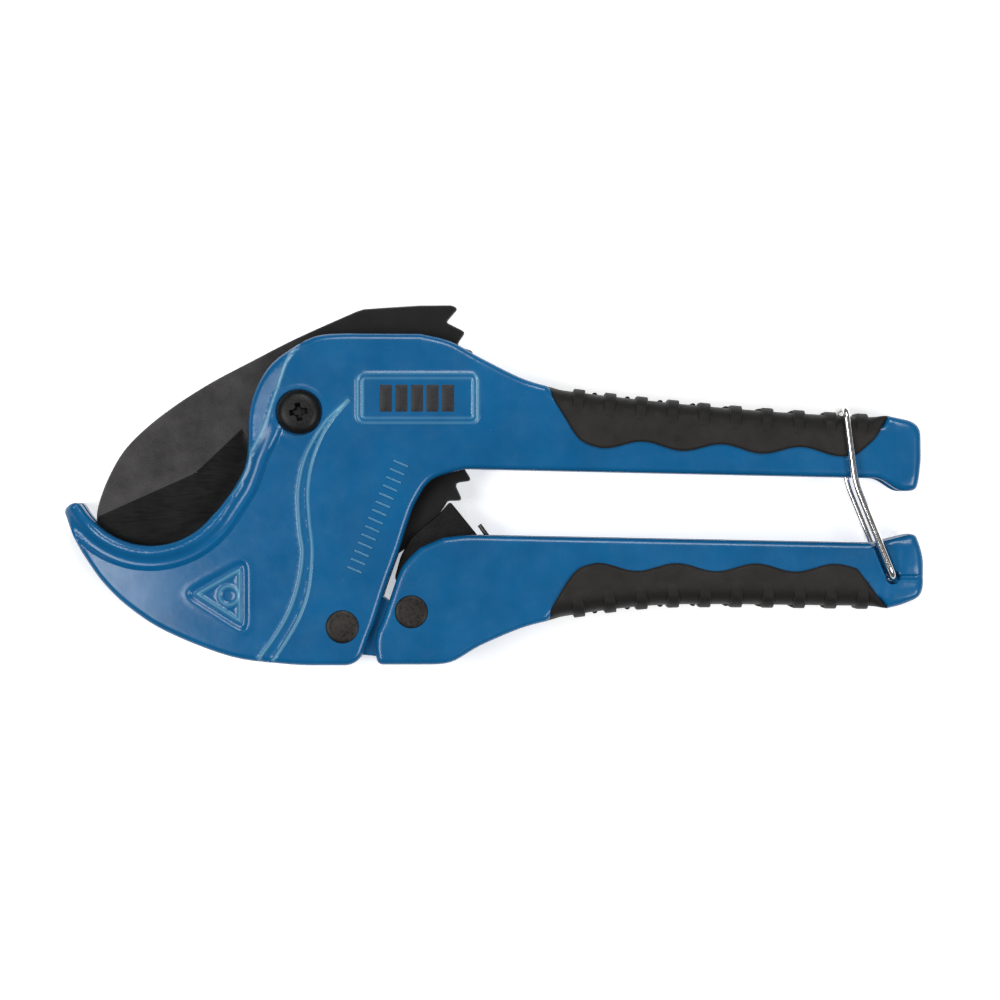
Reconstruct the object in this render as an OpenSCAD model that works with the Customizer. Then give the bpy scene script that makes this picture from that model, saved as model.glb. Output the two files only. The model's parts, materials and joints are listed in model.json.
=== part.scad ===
// Ratcheting plastic-pipe cutter, lying on its side with the jaw at the left.
// The blade's pivot axis is the origin, the back face of the casting is Z = 0
// and the handles run towards +X. All sizes are in millimetres.

/* [Casting] */
// Thickness of the jaw head, outside of cheek to outside of cheek
body_t = 18; // [15:0.5:22]
// How much thinner the two handles are than the head
handle_step = 1.5; // [1:0.5:3]
// Thickness of the cheeks beside the pawl and the lever's lug
cheek_t = 4.5; // [3.5:0.25:5]
// Wall of the two channel-shaped handles
handle_wall = 3; // [2.5:0.25:3.5]
// From the blade's pivot to the ends of the handles
handle_reach = 164.8; // [140:0.2:200]
// Depth of the bottom of the head below the blade's pivot
head_drop = 66.9; // [64:0.1:72]

/* [Jaw] */
// Largest pipe that the seat takes, outside diameter
pipe_d = 42; // [35:0.5:52]
// From the blade's pivot to the near side of the pipe
seat_gap = 18.5; // [17:0.1:22]
// Height of the top of the pipe above the blade's pivot
seat_rise = 6.7; // [5:0.1:8]
// Wall of the hook at its tip
hook_wall = 5; // [4.5:0.1:6]

/* [Blade] */
// Thickness of the blade
blade_t = 3; // [2.5:0.1:3.5]
// Radius of the ratchet teeth's tips about the pivot
tooth_tip_r = 48.4; // [47:0.1:49.4]
// Depth of a ratchet tooth
tooth_depth = 2.8; // [2:0.1:3.5]
// Number of ratchet teeth
tooth_count = 10; // [8:1:10]
// How far the cutting edge reaches below the seat when the jaw is shut
edge_depth = 3.2; // [2.5:0.1:4]
// Length of the ground bevel on the cutting edge
bevel_w = 15; // [10:0.5:18]
// Gap between blade and cheek, filled by a shim at the pivot
shim_t = 0.5; // [0.4:0.05:0.8]

/* [Pivots] */
// Diameter of the blade's pivot screw
screw_d = 6; // [5:0.5:8]
// Diameter of the screw's head
screw_head_d = 11.6; // [10.5:0.1:14]
// Diameter of the pin that the lever turns on
lever_pin_d = 6; // [5:0.5:7]
// Diameter of the pin that the pawl turns on
pawl_pin_d = 5; // [4:0.5:6]
// Diameter of the two rivets' heads
rivet_head_d = 8.7; // [8:0.1:10]
// Radial running clearance of everything that turns on a pin
run_clear = 0.06; // [0.02:0.01:0.1]

/* [Grips and latch] */
// How far the soft grips stand proud of the handles' sides
grip_side = 1.25; // [0.75:0.25:2]
// Thickness of the soft grips over the handles' backs
grip_back = 2.6; // [2:0.1:3.5]
// From the blade's pivot to the front end of the grips
grip_start = 65.5; // [62:0.5:70]
// From the ends of the handles back to the grips
grip_end_gap = 9.6; // [8:0.2:12]
// Diameter of the latch wire
wire_d = 1.7; // [1.4:0.1:2]
// Room between the latch wire and the sides of the grips
wire_gap = 0.4; // [0.3:0.1:1]

/* [Hidden] */
$fn = 64;

blue = [0.11, 0.38, 0.57];
lever_blue = [0.13, 0.42, 0.61];
rubber = [0.17, 0.16, 0.15];
dark_steel = [0.22, 0.22, 0.22];
blade_black = [0.27, 0.26, 0.26];
bright_wire = [0.8, 0.8, 0.8];

mid = body_t / 2;
handle_t = body_t - handle_step;
grip_t = handle_t + 2 * grip_side;
slot_w = blade_t + 2 * shim_t;
pocket_w = body_t - 2 * cheek_t;
channel_w = handle_t - 2 * handle_wall;
free_gap = 0.3;

seat_r = pipe_d / 2;
seat = [-seat_gap - seat_r, seat_rise - seat_r];
head_bottom = -head_drop;

// pivots
lever_at = [11.4, head_bottom + 10.25];
pawl_at = lever_at + [18.2, 3.95];
latch_at = [handle_reach - 8.2, -43.5];
lever_eye_r = lever_pin_d / 2 + 4;
ear_gap = 4.6;
pawl_foot_r = 4.5;

// blade
blade_max_r = tooth_tip_r + 1.3;
slot_r = blade_max_r + 0.6;
bush_r = screw_d / 2 + 1.25;
tooth_pitch = 7.06;
tooth_first = 34.2;

// handles
upper_inner_y = -15;
handle_fall = 0.022;
lever_top_y = -32.4;
lever_fall = 0.02;
grip_end = handle_reach - grip_end_gap;

// latch
wire_r = wire_d / 2;
leg_z = grip_t / 2 + wire_gap + wire_r;

// a point at a radius and an angle about a centre
function polar(c, r, a) = c + r * [cos(a), sin(a)];

// points along an arc, both ends included
function arc(c, r, a0, a1, n) = [for (i = [0:n]) polar(c, r, a0 + (a1 - a0) * i / n)];

// one point of a Catmull-Rom curve between b and c
function bend(a, b, c, d, t) =
    0.5 * (2 * b + (c - a) * t + (2 * a - 5 * b + 4 * c - d) * t * t
           + (3 * b - a - 3 * c + d) * t * t * t);

// a smooth curve through a list of points, n steps to each span
function curve(p, n = 4) = [
    for (i = [0:len(p) - 2])
        for (k = [0:n - (i == len(p) - 2 ? 0 : 1)])
            bend(p[max(i - 1, 0)], p[i], p[i + 1], p[min(i + 2, len(p) - 1)], k / n)
];

// an outline made solid, half to each side of the blade's plane
module slab(thick) {
    translate([0, 0, mid - thick / 2]) linear_extrude(thick) children();
}

// ---- casting: head and upper handle in one piece ----

// under side of the jaw, from the hook's tip to the head's lowest line
function jaw_under() = concat(
    [polar(seat, seat_r + 0.8, 209), polar(seat, seat_r + hook_wall * 0.6, 206.5)],
    curve([polar(seat, seat_r + hook_wall, 208.5),
           polar(seat, seat_r + hook_wall + 1.7, 222),
           polar(seat, seat_r + hook_wall + 4.1, 236),
           polar(seat, seat_r + hook_wall + 7.6, 249),
           polar(seat, seat_r + hook_wall + 12, 262),
           polar(seat, seat_r + hook_wall + 18.1, 276),
           [-18.1, head_bottom + 2.3],
           [-4, head_bottom + 0.4],
           [3, head_bottom]]));

// rear edge of the head, from its round lower corner up to the handle
function head_rear() = concat(
    arc(lever_at + [0.6, -5.05], 5.2, -90, -12, 5),
    curve([lever_at + [7.4, -1.5],
           lever_at + [8.6, 1.6],
           lever_at + [11.6, 11],
           lever_at + [15, 20.5],
           [28.5, -29.6],
           [30.9, -23.4],
           [35.2, -17.7],
           [43.8, upper_inner_y]], 3));

function upper_inner(x) = upper_inner_y - handle_fall * (x - 43.8);
function upper_back(x) = 6.9 - 11.2 * (1 - pow(1 - min(max(x - grip_start, 0) / 125, 1), 2)) * 0.76;

// end of the upper handle, a small hooked corner
function upper_end() = [
    [handle_reach - 11.6, upper_inner(handle_reach - 11.6)],
    [handle_reach - 6.4, upper_inner(handle_reach) - 3.2],
    [handle_reach - 2, upper_inner(handle_reach) - 3.1],
    [handle_reach - 1.2, upper_inner(handle_reach) - 0.3],
    [handle_reach - 0.6, -12.6],
    [handle_reach - 0.7, -5.1],
    [handle_reach - 1.6, -3.4],
    [handle_reach - 3.4, -2.2],
    [grip_end + 0.1, upper_back(grip_end)],
    [grip_end, upper_back(grip_end) - grip_back]
];

// back of the upper handle under its grip, then the top of the head
function body_top() = concat(
    [for (k = [6:-1:0]) let (x = grip_start + 2.5 + (grip_end - grip_start - 2.5) * k / 6)
        [x, upper_back(x) - grip_back]],
    [[grip_start, upper_back(grip_start)]],
    curve([[58.3, 9.2], [47.8, 14.4], [39.9, 18.7], [32, 20.7]], 3),
    curve([[12.2, 20.8], [4.3, 20], [-3.6, 15.8], [-8.6, 11.3], [-12, 5],
           [-13.4, -1.3], [-13.5, -8], [-14.3, -14], [-16.4, -18.5]], 3));

// the pipe's seat; its round wall is cut afterwards with a cylinder
function seat_fill() = concat(
    [polar(seat, seat_r + 0.4, 328)],
    arc(seat, seat_r - 1.5, 322, 217, 8));

function body_outline() =
    concat(jaw_under(), head_rear(), upper_end(), body_top(), seat_fill());

// block that holds the thicker head
module head_block() {
    translate([-200, -200, 0]) cube([200 + 54, 400, body_t]);
}

// room for the blade between the cheeks
module blade_slot() {
    translate([0, 0, mid - slot_w / 2]) {
        cylinder(h = slot_w, r = slot_r, $fn = 96);
        translate([seat.x, seat.y, 0]) cylinder(h = slot_w, r = seat_r + edge_depth + 1.2, $fn = 96);
    }
}

// wider room for the pawl and the lever's lug
module lug_pocket() {
    translate([0, 0, mid - pocket_w / 2]) {
        translate([lever_at.x, lever_at.y, 0]) cylinder(h = pocket_w, r = lever_eye_r + 1.4);
        linear_extrude(pocket_w)
            polygon([lever_at + [-lever_eye_r - 1.4, 0], lever_at + [-1, -16], lever_at + [22, -16],
                     lever_at + [34, 38], [34, -16], [20, -20], lever_at + [-3, 12]]);
    }
}

// the upper handle is a channel that opens towards the lever
module upper_channel() {
    top_inset = grip_back + handle_wall;
    translate([0, 0, mid - channel_w / 2])
        linear_extrude(channel_w)
            polygon(concat(
                [[slot_r + 1.5, -40], [handle_reach - handle_wall, -40]],
                [[handle_reach - handle_wall, -9]],
                [for (k = [4:-1:0]) let (x = grip_start + (grip_end - grip_start) * k / 4)
                    [x, upper_back(x) - top_inset]],
                [[slot_r + 1.5, upper_back(grip_start) - top_inset + 3]]));
}

module frame_body() {
    color(blue)
    difference() {
        union() {
            slab(handle_t) polygon(body_outline());
            intersection() {
                linear_extrude(body_t) polygon(body_outline());
                head_block();
            }
        }
        translate([seat.x, seat.y, -1]) cylinder(h = body_t + 2, r = seat_r, $fn = 128);
        blade_slot();
        lug_pocket();
        upper_channel();
        // pivot screw: clearance bore, head recess in front and nut pocket behind
        translate([0, 0, -1]) cylinder(h = body_t + 2, r = bush_r);
        translate([0, 0, body_t - head_sink]) cylinder(h = head_sink + 1, r = screw_head_d / 2 + 0.4);
        translate([0, 0, -1]) cylinder(h = nut_h + 1, r = nut_flat / cos(30) / 2 + 0.15, $fn = 6);
        // lever pin: bore and the two head recesses
        translate([lever_at.x, lever_at.y, -1]) cylinder(h = body_t + 2, r = lever_pin_d / 2);
        for (z = [-1, body_t - rivet_head_h])
            translate([lever_at.x, lever_at.y, z])
                cylinder(h = rivet_head_h + 1, r = rivet_head_d / 2);
    }
}

// ---- soft grips ----

wave_pitch = 20.9;
wave_h = 1.05;
ridge_pitch = 8.3;
ridge_r = 1.5;
ridge_proud = 0.7;
grip_ease = 0.8;

// wavy edge of a grip on the handle's side, y0 at the front and y1 at the rear
function wave(x0, x1, y0, y1, phase) = [
    for (k = [0:24]) let (t = k / 24, x = x0 + (x1 - x0) * t)
        [x, y0 + (y1 - y0) * t + wave_h * cos(360 * (x - phase) / wave_pitch)]
];

function upper_grip_outline(ease) = concat(
    [[grip_start, upper_back(grip_start) - ease],
     [grip_start + 4, -0.3],
     [grip_start + 7.6, -6.3]],
    wave(grip_start + 14, grip_end - 8, -8.5, -10.8, 90.6),
    [[grip_end - 3.4, -7], [grip_end - 0.9, -2.8], [grip_end, upper_back(grip_end) - ease]],
    [for (k = [9:-1:1]) let (x = grip_start + (grip_end - grip_start) * k / 10)
        [x, upper_back(x) - ease]]);

// rounded ribs across the back of a grip
module ridges(x0, x1, side) {
    count = floor((x1 - x0) / ridge_pitch);
    for (k = [0:count])
        let (x = x0 + k * ridge_pitch,
             reach = ridge_r - ridge_proud,
             y = side > 0 ? upper_back(x) - reach : lower_back(x) + reach)
            translate([x, y, mid - grip_t / 2 + 1.5]) cylinder(h = grip_t - 3, r = ridge_r, $fn = 24);
}

module upper_grip() {
    color(rubber)
    difference() {
        union() {
            slab(grip_t) polygon(upper_grip_outline(grip_ease));
            slab(grip_t - 2 * grip_ease) polygon(upper_grip_outline(0));
            ridges(grip_start + 8.5, grip_end - 4, 1);
        }
        slab(handle_t) polygon(body_outline());
    }
}

// ---- pivot of the blade ----

head_sink = 0.8;
screw_head_h = 3;
nut_flat = 10;
nut_h = 4.6;
insert_h = 1.3;

module blade_screw() {
    color(dark_steel)
    difference() {
        union() {
            translate([0, 0, body_t - head_sink]) cylinder(h = screw_head_h - 1.2, r = screw_head_d / 2);
            translate([0, 0, body_t - head_sink + screw_head_h - 1.2])
                cylinder(h = 1.2, r1 = screw_head_d / 2, r2 = screw_head_d / 2 - 1.4);
            translate([0, 0, 0.4]) cylinder(h = body_t - head_sink, r = screw_d / 2);
        }
        // crossed drive recess
        for (a = [8, 98])
            translate([0, 0, body_t - head_sink + screw_head_h - 2.2])
                rotate(a) translate([-3.2, -0.6, 0]) cube([6.4, 1.2, 3]);
    }
}

module blade_nut() {
    color(dark_steel)
    difference() {
        cylinder(h = nut_h, r = nut_flat / cos(30) / 2, $fn = 6);
        translate([0, 0, -1]) cylinder(h = nut_h + 2, r = screw_d / 2);
        translate([0, 0, -1]) cylinder(h = insert_h + 1, r = screw_d / 2 + 1);
    }
}

module nut_insert() {
    color("white")
    difference() {
        cylinder(h = insert_h, r = screw_d / 2 + 1);
        translate([0, 0, -1]) cylinder(h = insert_h + 2, r = screw_d / 2);
    }
}

// steel sleeve that keeps the cheeks apart and carries the blade
module pivot_bush() {
    color("silver")
    translate([0, 0, nut_h])
        difference() {
            cylinder(h = body_t - head_sink - nut_h, r = bush_r);
            translate([0, 0, -1]) cylinder(h = body_t, r = screw_d / 2);
        }
}

module shim(z) {
    color("silver")
    translate([0, 0, z])
        difference() {
            cylinder(h = shim_t - 0.05, r = bush_r + 3.5);
            translate([0, 0, -1]) cylinder(h = shim_t + 2, r = bush_r);
        }
}

module blade_shim_near() { shim(mid + blade_t / 2 + 0.05); }
module blade_shim_far() { shim(mid - blade_t / 2 - shim_t); }

// ---- blade ----

// one ratchet tooth, counted from the lowest: push face below, long sloping back above
function tooth(k) = let (a = tooth_first + (k + 1 - tooth_count) * tooth_pitch) [
    polar([0, 0], tooth_tip_r - tooth_depth, a - 0.6),
    polar([0, 0], tooth_tip_r, a),
    polar([0, 0], tooth_tip_r, a + 1.1),
    polar([0, 0], tooth_tip_r - tooth_depth * 0.8, a + tooth_pitch * 0.7)
];

// cutting edge, from its heel at the pivot to the tip inside the hook
function blade_edge() = concat(
    curve([[8, -21], [-3, -24.5], [-14, -28],
           polar(seat, seat_r + edge_depth - 0.6, 315),
           polar(seat, seat_r + edge_depth, 296)], 3),
    arc(seat, seat_r + edge_depth, 288, 232, 8));

// spine, from the last tooth over the top and down the nose to the tip
function blade_spine() = concat(
    [[40.4, 27.8], [39.2, 28.7]],
    curve([[31.7, 28.5], [19.8, 27.9], [11.8, 26.1], [-0.2, 20.5], [-12.2, 14.2], [-23.6, 8.1],
           [-32.8, 2.3], [seat.x - 1.5, seat.y + 10.3], [seat.x - 7.6, seat.y + 4],
           [seat.x - 11.7, seat.y - 3.2], [seat.x - 14, seat.y - 9.3],
           [seat.x - 14.8, seat.y - 14.2], polar(seat, seat_r + edge_depth - 2, 229)], 3));

// ground bevel: the wedge taken off each side along the cutting edge
module bevel_wedge(side) {
    low = polar(seat, seat_r + edge_depth, 262);
    lean = atan((blade_t / 2 - 0.1) / bevel_w);
    translate([low.x, low.y, mid + side * 0.1])
        rotate(24)
            rotate([side * lean, 0, 0])
                translate([-60, -40, side > 0 ? 0 : -10])
                    cube([100, 40 + bevel_w + 6, 10]);
}

module blade_plate() {
    slab(blade_t)
        polygon(concat(
            arc([0, 0], tooth_tip_r - tooth_depth, -57, tooth_first - tooth_count * tooth_pitch + 3, 8),
            [for (k = [0:tooth_count - 2]) each tooth(k)],
            [tooth(tooth_count - 1)[0]],
            blade_spine(),
            [for (k = [len(blade_edge()) - 1:-1:0]) blade_edge()[k]]));
}

module blade() {
    color(blade_black)
    difference() {
        blade_plate();
        translate([0, 0, -1]) cylinder(h = body_t + 2, r = bush_r + run_clear);
        bevel_wedge(1);
        bevel_wedge(-1);
    }
}

// ---- lever: lower handle with its lug between the cheeks ----

function lower_top(x) = lever_top_y - lever_fall * (x - 43);
function lower_back(x) = -55.2 + 3.9 * sin(min(max(x - grip_start, 0) / 38, 1) * 90) - 0.5 * max(x - 115, 0) / 40;

function lever_outline() = concat(
    // front edge, clear of the head all through the stroke
    curve([[31.8, -35.8], [28.3, -39.3], [26.3, -42.5], [24.1, -48.7], lever_at + [10.5, 1.6],
           lever_at + [9.1, -1.5], lever_at + [8.6, -5], lever_at + [9.1, -9],
           lever_at + [10.4, -10.05]], 3),
    curve([[32, head_bottom + 0.2], [39.9, head_bottom + 0.8], [47.8, -61.7],
           [58.3, -57.2], [grip_start, lower_back(grip_start)]], 3),
    [for (k = [0:6]) let (x = grip_start + 2.5 + (grip_end - grip_start - 2.5) * k / 6)
        [x, lower_back(x) + grip_back]],
    [[grip_end + 0.1, lower_back(grip_end)],
     [handle_reach - 6, -51],
     [handle_reach - 1.2, -48.7],
     [handle_reach, -46.9],
     [handle_reach, -39],
     [handle_reach - 1.1, lower_top(handle_reach) + 0.4],
     [handle_reach - 2.4, lower_top(handle_reach) + 2.9],
     [handle_reach - 6.4, lower_top(handle_reach) + 1.9],
     [handle_reach - 12.8, lower_top(handle_reach - 12.8)],
     [44, lower_top(44)],
     [38, lower_top(44) - 0.7]]);

// the lever is a channel too, open towards the upper handle
module lever_channel() {
    front = pawl_at.x - pawl_foot_r - 0.4;
    slab(channel_w)
        polygon(concat(
            [[20, -20], [20, lever_at.y + 9], [front, lever_at.y + 7.5],
             [front, head_bottom + handle_wall + 1], [29, head_bottom + handle_wall],
             [39, head_bottom + handle_wall + 0.8], [47, -58.5], [58, -53.6]],
            [for (k = [0:4]) let (x = grip_start + (grip_end - 12 - grip_start) * k / 4)
                [x, lower_back(x) + grip_back + handle_wall]],
            [[grip_end - 6, -20]]));
}

// lug that fills the head's pocket and carries the lever pin
module lever_lug() {
    slab(pocket_w - 2 * free_gap)
        polygon(concat(
            arc(lever_at, lever_eye_r, 70, 270, 16),
            [for (p = [[11.5, -8.2], [13, -6], [13, 6], [9, 9]]) lever_at + p]));
}

module lower_handle() {
    color(lever_blue)
    difference() {
        union() {
            difference() {
                slab(handle_t) polygon(lever_outline());
                lever_channel();
            }
            lever_lug();
        }
        // room for the lever's spring between the lug's two ears
        translate([lever_at.x - 20, lever_at.y - 5.4, mid - ear_gap / 2])
            cube([20 + 14.5, 13, ear_gap]);
        translate([lever_at.x, lever_at.y, -1])
            cylinder(h = body_t + 2, r = lever_pin_d / 2 + run_clear);
        translate([pawl_at.x, pawl_at.y, -1]) cylinder(h = body_t + 2, r = pawl_pin_d / 2);
        for (z = [mid - handle_t / 2 - 1, mid + handle_t / 2 - rivet_head_h])
            translate([pawl_at.x, pawl_at.y, z]) cylinder(h = rivet_head_h + 1, r = rivet_head_d / 2);
        translate([latch_at.x, latch_at.y, -5]) cylinder(h = body_t + 10, r = wire_r + run_clear);
    }
}

function lower_grip_outline(ease) = concat(
    [[grip_start, lower_back(grip_start) + ease]],
    [for (k = [1:9]) let (x = grip_start + (grip_end - grip_start) * k / 10)
        [x, lower_back(x) + ease]],
    [[grip_end, lower_back(grip_end) + ease], [grip_end - 2.2, -49], [grip_end - 4.8, -45.4]],
    [for (k = [24:-1:0]) wave(grip_start + 13, grip_end - 8, -40.8, -41.1, 120.5)[k]],
    [[grip_start + 8.7, -41], [grip_start + 5.7, -44], [grip_start + 2.8, -48.7]]);

module lower_grip() {
    color(rubber)
    difference() {
        union() {
            slab(grip_t) polygon(lower_grip_outline(grip_ease));
            slab(grip_t - 2 * grip_ease) polygon(lower_grip_outline(0));
            ridges(grip_start + 8.5, grip_end - 4, -1);
        }
        slab(handle_t) polygon(lever_outline());
    }
}

// ---- rivets ----

rivet_head_h = 1.6;

module rivet(at, r, thick) {
    color(dark_steel)
    translate([at.x, at.y, mid - thick / 2]) {
        cylinder(h = thick, r = r);
        cylinder(h = rivet_head_h, r = rivet_head_d / 2);
        translate([0, 0, thick - rivet_head_h]) cylinder(h = rivet_head_h, r = rivet_head_d / 2);
    }
}

module lever_pin() { rivet(lever_at, lever_pin_d / 2, body_t); }
module pawl_pin() { rivet(pawl_at, pawl_pin_d / 2, handle_t); }

// ---- pawl: a folded steel stirrup whose sides straddle the blade ----

pawl_gap = blade_t + 0.8;
pawl_plate_t = 1.5;
pawl_w = pawl_gap + 2 * pawl_plate_t;
pawl_web_r = blade_max_r + 0.5;

// outline of one side, from its foot at the pin round to the nose at the teeth
function pawl_side() = [for (p = [
    [-4.1, 1.8], [-4.4, -1], [-3, -3.3], [0, -4.5], [3.6, -3.6], [8, -1.5], [17.6, 19.9], [10.1, 29.1],
    [7.7, 26.3], [-0.3, 19.5], [-3, 14.5], [-4.6, 8.7], [-2.4, 5.4]]) pawl_at + p];

// room between the sides, in front of the web that joins them
function pawl_room() = [for (p = [
    [-20, -20], [6, -20], [6.3, -2], [15.9, 19.5], [8.9, 28.2], [8, 34], [-20, 34]]) pawl_at + p];

module pawl() {
    color(dark_steel)
    difference() {
        translate([0, 0, mid - pawl_w / 2]) linear_extrude(pawl_w) polygon(pawl_side());
        // the blade passes between the two sides
        translate([0, 0, mid - pawl_gap / 2]) {
            cylinder(h = pawl_gap, r = pawl_web_r, $fn = 96);
            linear_extrude(pawl_gap) polygon(pawl_room());
        }
        translate([pawl_at.x, pawl_at.y, -1])
            cylinder(h = body_t + 2, r = pawl_pin_d / 2 + run_clear);
    }
}

module pawl_spacer(z) {
    color("silver")
    translate([pawl_at.x, pawl_at.y, z])
        difference() {
            cylinder(h = (channel_w - pawl_w) / 2 - 0.1, r = pawl_pin_d / 2 + 1.5);
            translate([0, 0, -1]) cylinder(h = body_t, r = pawl_pin_d / 2);
        }
}

module pawl_spacer_near() { pawl_spacer(mid + pawl_w / 2 + 0.1); }
module pawl_spacer_far() { pawl_spacer(mid - channel_w / 2); }

// ---- springs, each drawn as its closed coil with two legs ----

spring_wire_r = 0.65;
bend_swell = 0.1;

// round wire along a line of points, with a ball at each bend
module wire(points, r) {
    for (k = [0:len(points) - 2])
        let (run = points[k + 1] - points[k], flat = norm([run.x, run.y])) {
            translate(points[k])
                rotate([0, atan2(flat, run.z), atan2(run.y, run.x)])
                    cylinder(h = norm(run), r = r, $fn = 32);
            if (k > 0)
                translate(points[k]) sphere(r = r + bend_swell, $fn = 32);
        }
}

module coil(at, inner_r, height) {
    translate([at.x, at.y, mid - height / 2])
        difference() {
            cylinder(h = height, r = inner_r + 2 * spring_wire_r);
            translate([0, 0, -1]) cylinder(h = height + 2, r = inner_r);
        }
}

// pushes the lever open: one leg on the head, the other on the lever's floor
module lever_spring() {
    inner_r = lever_pin_d / 2 + 0.25;
    wire_at = inner_r + spring_wire_r;
    at = [lever_at.x, lever_at.y, mid];
    color(bright_wire) {
        coil(lever_at, inner_r, 4);
        wire([at + [0, wire_at, 1.2], at + [-6.4, wire_at, 1.2]], spring_wire_r);
        wire([at + [0, -wire_at, -1.2], at + [18, -wire_at - 0.3, -1.2]], spring_wire_r);
    }
}

// keeps the pawl on the teeth: its long leg turns back and leans on the web
module pawl_spring() {
    inner_r = pawl_pin_d / 2 + 0.25;
    wire_at = inner_r + spring_wire_r;
    at = [pawl_at.x, pawl_at.y, mid];
    color(dark_steel) {
        coil(pawl_at, inner_r, pawl_gap - 0.4);
        wire([for (p = [[0, -wire_at, 0], [15, -3.6, 0], [26, 2.5, 0], [24.6, 13.5, 0],
                        [17.9, 22.9, 0]]) at + p], spring_wire_r);
    }
}

// ---- latch: one bent wire from hole to hole over the upper grip ----

latch_corner_r = 3;
latch_knee = latch_at + [-10.1, 24.7];
latch_top = latch_at + [-12.7, 44.6];
latch_pin_l = 4.5;

// the wire's middle line from the pin in one side of the lever to the top corner
function latch_leg(side) =
    let (top_run = latch_top - latch_knee,
         way = top_run / norm(top_run),
         middle = latch_top - latch_corner_r * way,
         z = mid + side * leg_z,
         turn_z = z - side * latch_corner_r)
    concat([[latch_at.x, latch_at.y, z - side * latch_pin_l],
            [latch_at.x, latch_at.y, z],
            [latch_knee.x, latch_knee.y, z]],
           [for (a = [0:45:90])
               let (p = middle + latch_corner_r * sin(a) * way)
                   [p.x, p.y, turn_z + side * latch_corner_r * cos(a)]]);

module latch_bail() {
    near = latch_leg(1);
    far = latch_leg(-1);
    color(bright_wire)
        wire(concat(near, [for (k = [len(far) - 1:-1:0]) far[k]]), wire_r);
}

frame_body();
upper_grip();
blade_screw();
blade_nut();
nut_insert();
pivot_bush();
blade_shim_near();
blade_shim_far();
lever_pin();
blade();
lower_handle();
lower_grip();
pawl_pin();
pawl_spacer_near();
pawl_spacer_far();
lever_spring();
pawl_spring();
pawl();
latch_bail();
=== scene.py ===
# %% [markdown]
# # A ratcheting plastic-pipe cutter
# A hand tool for cutting plastic pipe. One die-cast piece is the hooked jaw and the upper handle.
# A steel blade with ratchet teeth swings between the jaw's two cheeks, and the lower handle drives
# it through a pawl. A bent wire latches the handles shut. The working parts come from the packed
# CAD model, and this lesson makes what is seen: the castings, the rubber, the blade and the wires.

# %% Load the CAD frame
import json
import math
import bmesh
import bpy
import numpy as np
from mathutils import Matrix, Vector, geometry


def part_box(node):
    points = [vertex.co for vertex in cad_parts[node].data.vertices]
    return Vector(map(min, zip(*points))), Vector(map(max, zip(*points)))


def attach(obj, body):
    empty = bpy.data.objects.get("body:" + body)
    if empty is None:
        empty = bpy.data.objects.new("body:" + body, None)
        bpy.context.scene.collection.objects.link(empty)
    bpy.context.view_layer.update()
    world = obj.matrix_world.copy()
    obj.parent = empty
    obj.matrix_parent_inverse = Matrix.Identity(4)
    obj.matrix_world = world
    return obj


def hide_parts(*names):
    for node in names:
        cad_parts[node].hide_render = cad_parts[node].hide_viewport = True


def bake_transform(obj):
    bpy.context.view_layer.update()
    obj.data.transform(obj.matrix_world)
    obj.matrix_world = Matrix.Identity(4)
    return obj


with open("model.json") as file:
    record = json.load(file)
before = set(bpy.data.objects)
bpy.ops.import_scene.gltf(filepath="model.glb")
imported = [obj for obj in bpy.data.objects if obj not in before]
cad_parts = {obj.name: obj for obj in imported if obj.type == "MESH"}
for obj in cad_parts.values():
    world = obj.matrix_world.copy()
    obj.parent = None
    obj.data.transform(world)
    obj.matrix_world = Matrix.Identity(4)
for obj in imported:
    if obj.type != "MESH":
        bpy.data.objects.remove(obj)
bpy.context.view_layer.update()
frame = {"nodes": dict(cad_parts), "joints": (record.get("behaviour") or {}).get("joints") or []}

# %% [markdown]
# ## Sizes read from the frame
# Every piece has to meet the CAD parts, so the sizes that they share are read from the nodes'
# boxes. The script thinks in millimetres, as the drawing of such a tool does, and a mesh is
# turned into metres once, when it is made.

# %% Shared sizes
MM = 0.001


def span(node):
    """A node's lowest and highest corner in millimetres."""
    low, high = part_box(node)
    return np.array(low) / MM, np.array(high) / MM


def middle(node):
    """The middle of a node's box, seen from the front."""
    low, high = span(node)
    return ((low + high) / 2)[:2]


def radius_of(node):
    """Half a round node's width."""
    low, high = span(node)
    return (high[0] - low[0]) / 2


head_low, head_high = span("frame_body")
lever_low, lever_high = span("lower_handle")
grip_low, grip_high = span("upper_grip")
head_t = head_high[2]
mid_z = head_t / 2
handle_t = lever_high[2] - lever_low[2]
grip_t = grip_high[2] - grip_low[2]
handle_reach = lever_high[0]
head_bottom = head_low[1]
grip_start = grip_low[0]
grip_end = grip_high[0]
pivot = np.array([0.0, 0.0])
lever_at = middle("lever_pin")
pawl_at = middle("pawl_pin")
joint_at = {j["name"]: np.array(j["pos_m"][:2]) / MM for j in frame["joints"]}
latch_at = joint_at["latch_swing"]
blade_t = span("blade")[1][2] - span("blade")[0][2]
bush_r = radius_of("pivot_bush")
screw_head_r = radius_of("blade_screw")
print("head", head_t, "handle", handle_t, "grip", grip_t, "reach", handle_reach)

# %% [markdown]
# ## Lines
# Outlines are short lists of chosen points. A Catmull-Rom curve passes smoothly through such a
# list, and an arc or a corner radius does the round stretches.

# %% Line helpers


def polar(centre, radius, angle):
    """The point at a radius and an angle in degrees about a centre."""
    turn = math.radians(angle)
    return (centre[0] + radius * math.cos(turn), centre[1] + radius * math.sin(turn))


def arc(centre, radius, start, end, count):
    return [polar(centre, radius, start + (end - start) * k / count) for k in range(count + 1)]


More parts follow.
